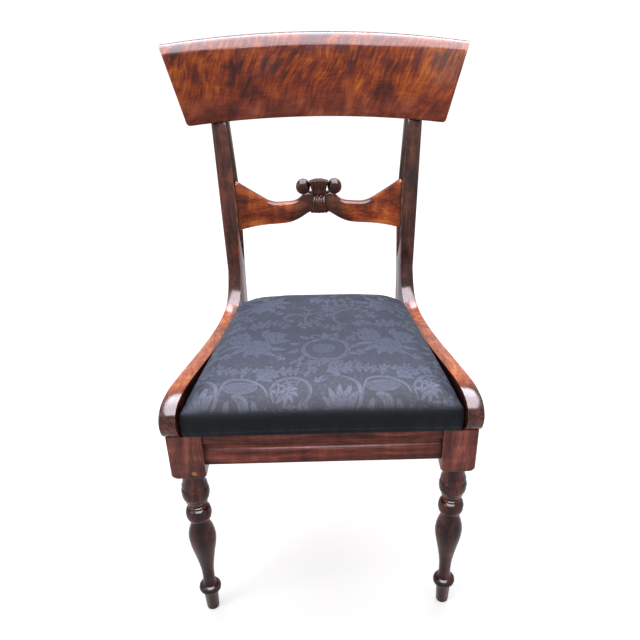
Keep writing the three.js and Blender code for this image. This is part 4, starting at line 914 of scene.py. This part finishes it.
yarn = add(tree, "ShaderNodeVectorMath", {0: yarn, "Scale": ribbed},
           operation="SCALE").outputs[0]
gloss = add(tree, "ShaderNodeMapRange", {
    "Value": satin, "From Min": 0, "From Max": 1, "To Min": 0.6, "To Max": 0.44}).outputs[0]
relief = add(tree, "ShaderNodeMath", {0: satin, 1: 1.5, 2: ribs},
             operation="MULTIPLY_ADD").outputs[0]
bump = add(tree, "ShaderNodeBump", {"Height": relief, "Distance": 0.00025, "Strength": 0.35})
shader = add(tree, "ShaderNodeBsdfPrincipled", {
    "Base Color": yarn, "Roughness": gloss, "Normal": bump.outputs[0],
    "Specular IOR Level": 0.12, "Sheen Weight": 0.08, "Sheen Roughness": 0.45,
    "Sheen Tint": linear("#b4c0e0")})
add(tree, "ShaderNodeOutputMaterial", {"Surface": shader.outputs[0]})
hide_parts("seat_cover", "seat_pad")


# Floor, light and camera
# A pale floor, soft lamps above, behind and at the left, and the photograph's viewpoint.
world = bpy.data.worlds.new("studio")
bpy.context.scene.world = world
world.use_nodes = True
tree = world.node_tree
tree.nodes.clear()
ray = add(tree, "ShaderNodeLightPath", {})
seen = add(tree, "ShaderNodeMath", {0: ray.outputs["Is Camera Ray"],
                                    1: ray.outputs["Is Glossy Ray"]}, operation="MAXIMUM")
seen = add(tree, "ShaderNodeMath", {0: seen.outputs[0],
                                    1: ray.outputs["Is Transmission Ray"]},
           operation="MAXIMUM")
fill = add(tree, "ShaderNodeBackground", {"Color": linear("#f4f6fa"), "Strength": 0.75})
white = add(tree, "ShaderNodeBackground", {"Color": (1, 1, 1, 1), "Strength": 1})
both = add(tree, "ShaderNodeMixShader",
           {0: seen.outputs[0], 1: fill.outputs[0], 2: white.outputs[0]})
add(tree, "ShaderNodeOutputWorld", {"Surface": both.outputs[0]})

floor_mesh = bmesh.new()
bmesh.ops.create_grid(floor_mesh, x_segments=1, y_segments=1, size=40)
floor_data = bpy.data.meshes.new("floor")
floor_mesh.to_mesh(floor_data)
floor_mesh.free()
floor = bpy.data.objects.new("floor", floor_data)
bpy.context.scene.collection.objects.link(floor)
paper, tree = new_material("white_paper")
ray = add(tree, "ShaderNodeLightPath", {})
matt = add(tree, "ShaderNodeBsdfDiffuse", {"Color": linear("#f6f6f6")})
lift = add(tree, "ShaderNodeEmission", {"Color": (1, 1, 1, 1), "Strength": 0.4})
shown = add(tree, "ShaderNodeAddShader", {0: matt.outputs[0], 1: lift.outputs[0]})
paper_side = add(tree, "ShaderNodeMixShader", {
    0: ray.outputs["Is Camera Ray"], 1: matt.outputs[0], 2: shown.outputs[0]})
add(tree, "ShaderNodeOutputMaterial", {"Surface": paper_side.outputs[0]})
floor.data.materials.append(paper)


def soft_box(name, place, target, width, height, power, colour):
    """A rectangular lamp at place that faces target."""
    lamp = bpy.data.lights.new(name, "AREA")
    lamp.shape = "RECTANGLE"
    lamp.size = width
    lamp.size_y = height
    lamp.energy = power
    lamp.color = linear(colour)[:3]
    box = bpy.data.objects.new(name, lamp)
    bpy.context.scene.collection.objects.link(box)
    box.location = place
    aim = Vector(target) - Vector(place)
    box.rotation_euler = aim.to_track_quat("-Z", "Y").to_euler()
    box.visible_camera = False
    return box


soft_box("sky_light", place=(0, 1.3, 2.5), target=(0, 0.1, 0.5),
         width=2.6, height=0.9, power=26, colour="#e6dcf2")
soft_box("left_light", place=(-2.2, -1.4, 2.0), target=(0, 0, 0.45),
         width=1.4, height=1.4, power=20, colour="#fff6ea")
# The ceiling shows in the polish alone, over the curved wood and the satin.
ceiling = soft_box("ceiling", place=(0, -0.2, 2.0), target=(0, -0.2, 0.5),
                   width=1.8, height=3.4, power=390, colour="#ebe8f3")
ceiling.visible_diffuse = False

# The camera stands before the front legs, at a standing person's chest, and looks down.
yaw, pitch, roll = 0.02725, 0.56071, -0.008145
ahead = Vector((math.sin(yaw) * math.cos(pitch), math.cos(yaw) * math.cos(pitch),
                -math.sin(pitch)))
right = Vector((math.cos(yaw), -math.sin(yaw), 0))
up = right.cross(ahead)
turned_right = math.cos(roll) * right + math.sin(roll) * up
turned_up = math.cos(roll) * up - math.sin(roll) * right
lens = bpy.data.cameras.new("camera")
lens.sensor_width = 36
lens.lens = 40.5
picture_width = 640
lens.shift_x = -25 / picture_width
lens.shift_y = 40 / picture_width
camera = bpy.data.objects.new("camera", lens)
bpy.context.scene.collection.objects.link(camera)
aside, before_legs, above_floor = 0.010709, 0.857818, 1.077176
viewpoint = (aside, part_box("right_front_leg")[0].y - before_legs, above_floor)
camera.matrix_world = Matrix.Translation(viewpoint) @ Matrix(
    (turned_right, turned_up, -ahead)).transposed().to_4x4()
bpy.context.scene.camera = camera
bpy.context.scene.view_settings.view_transform = "Standard"
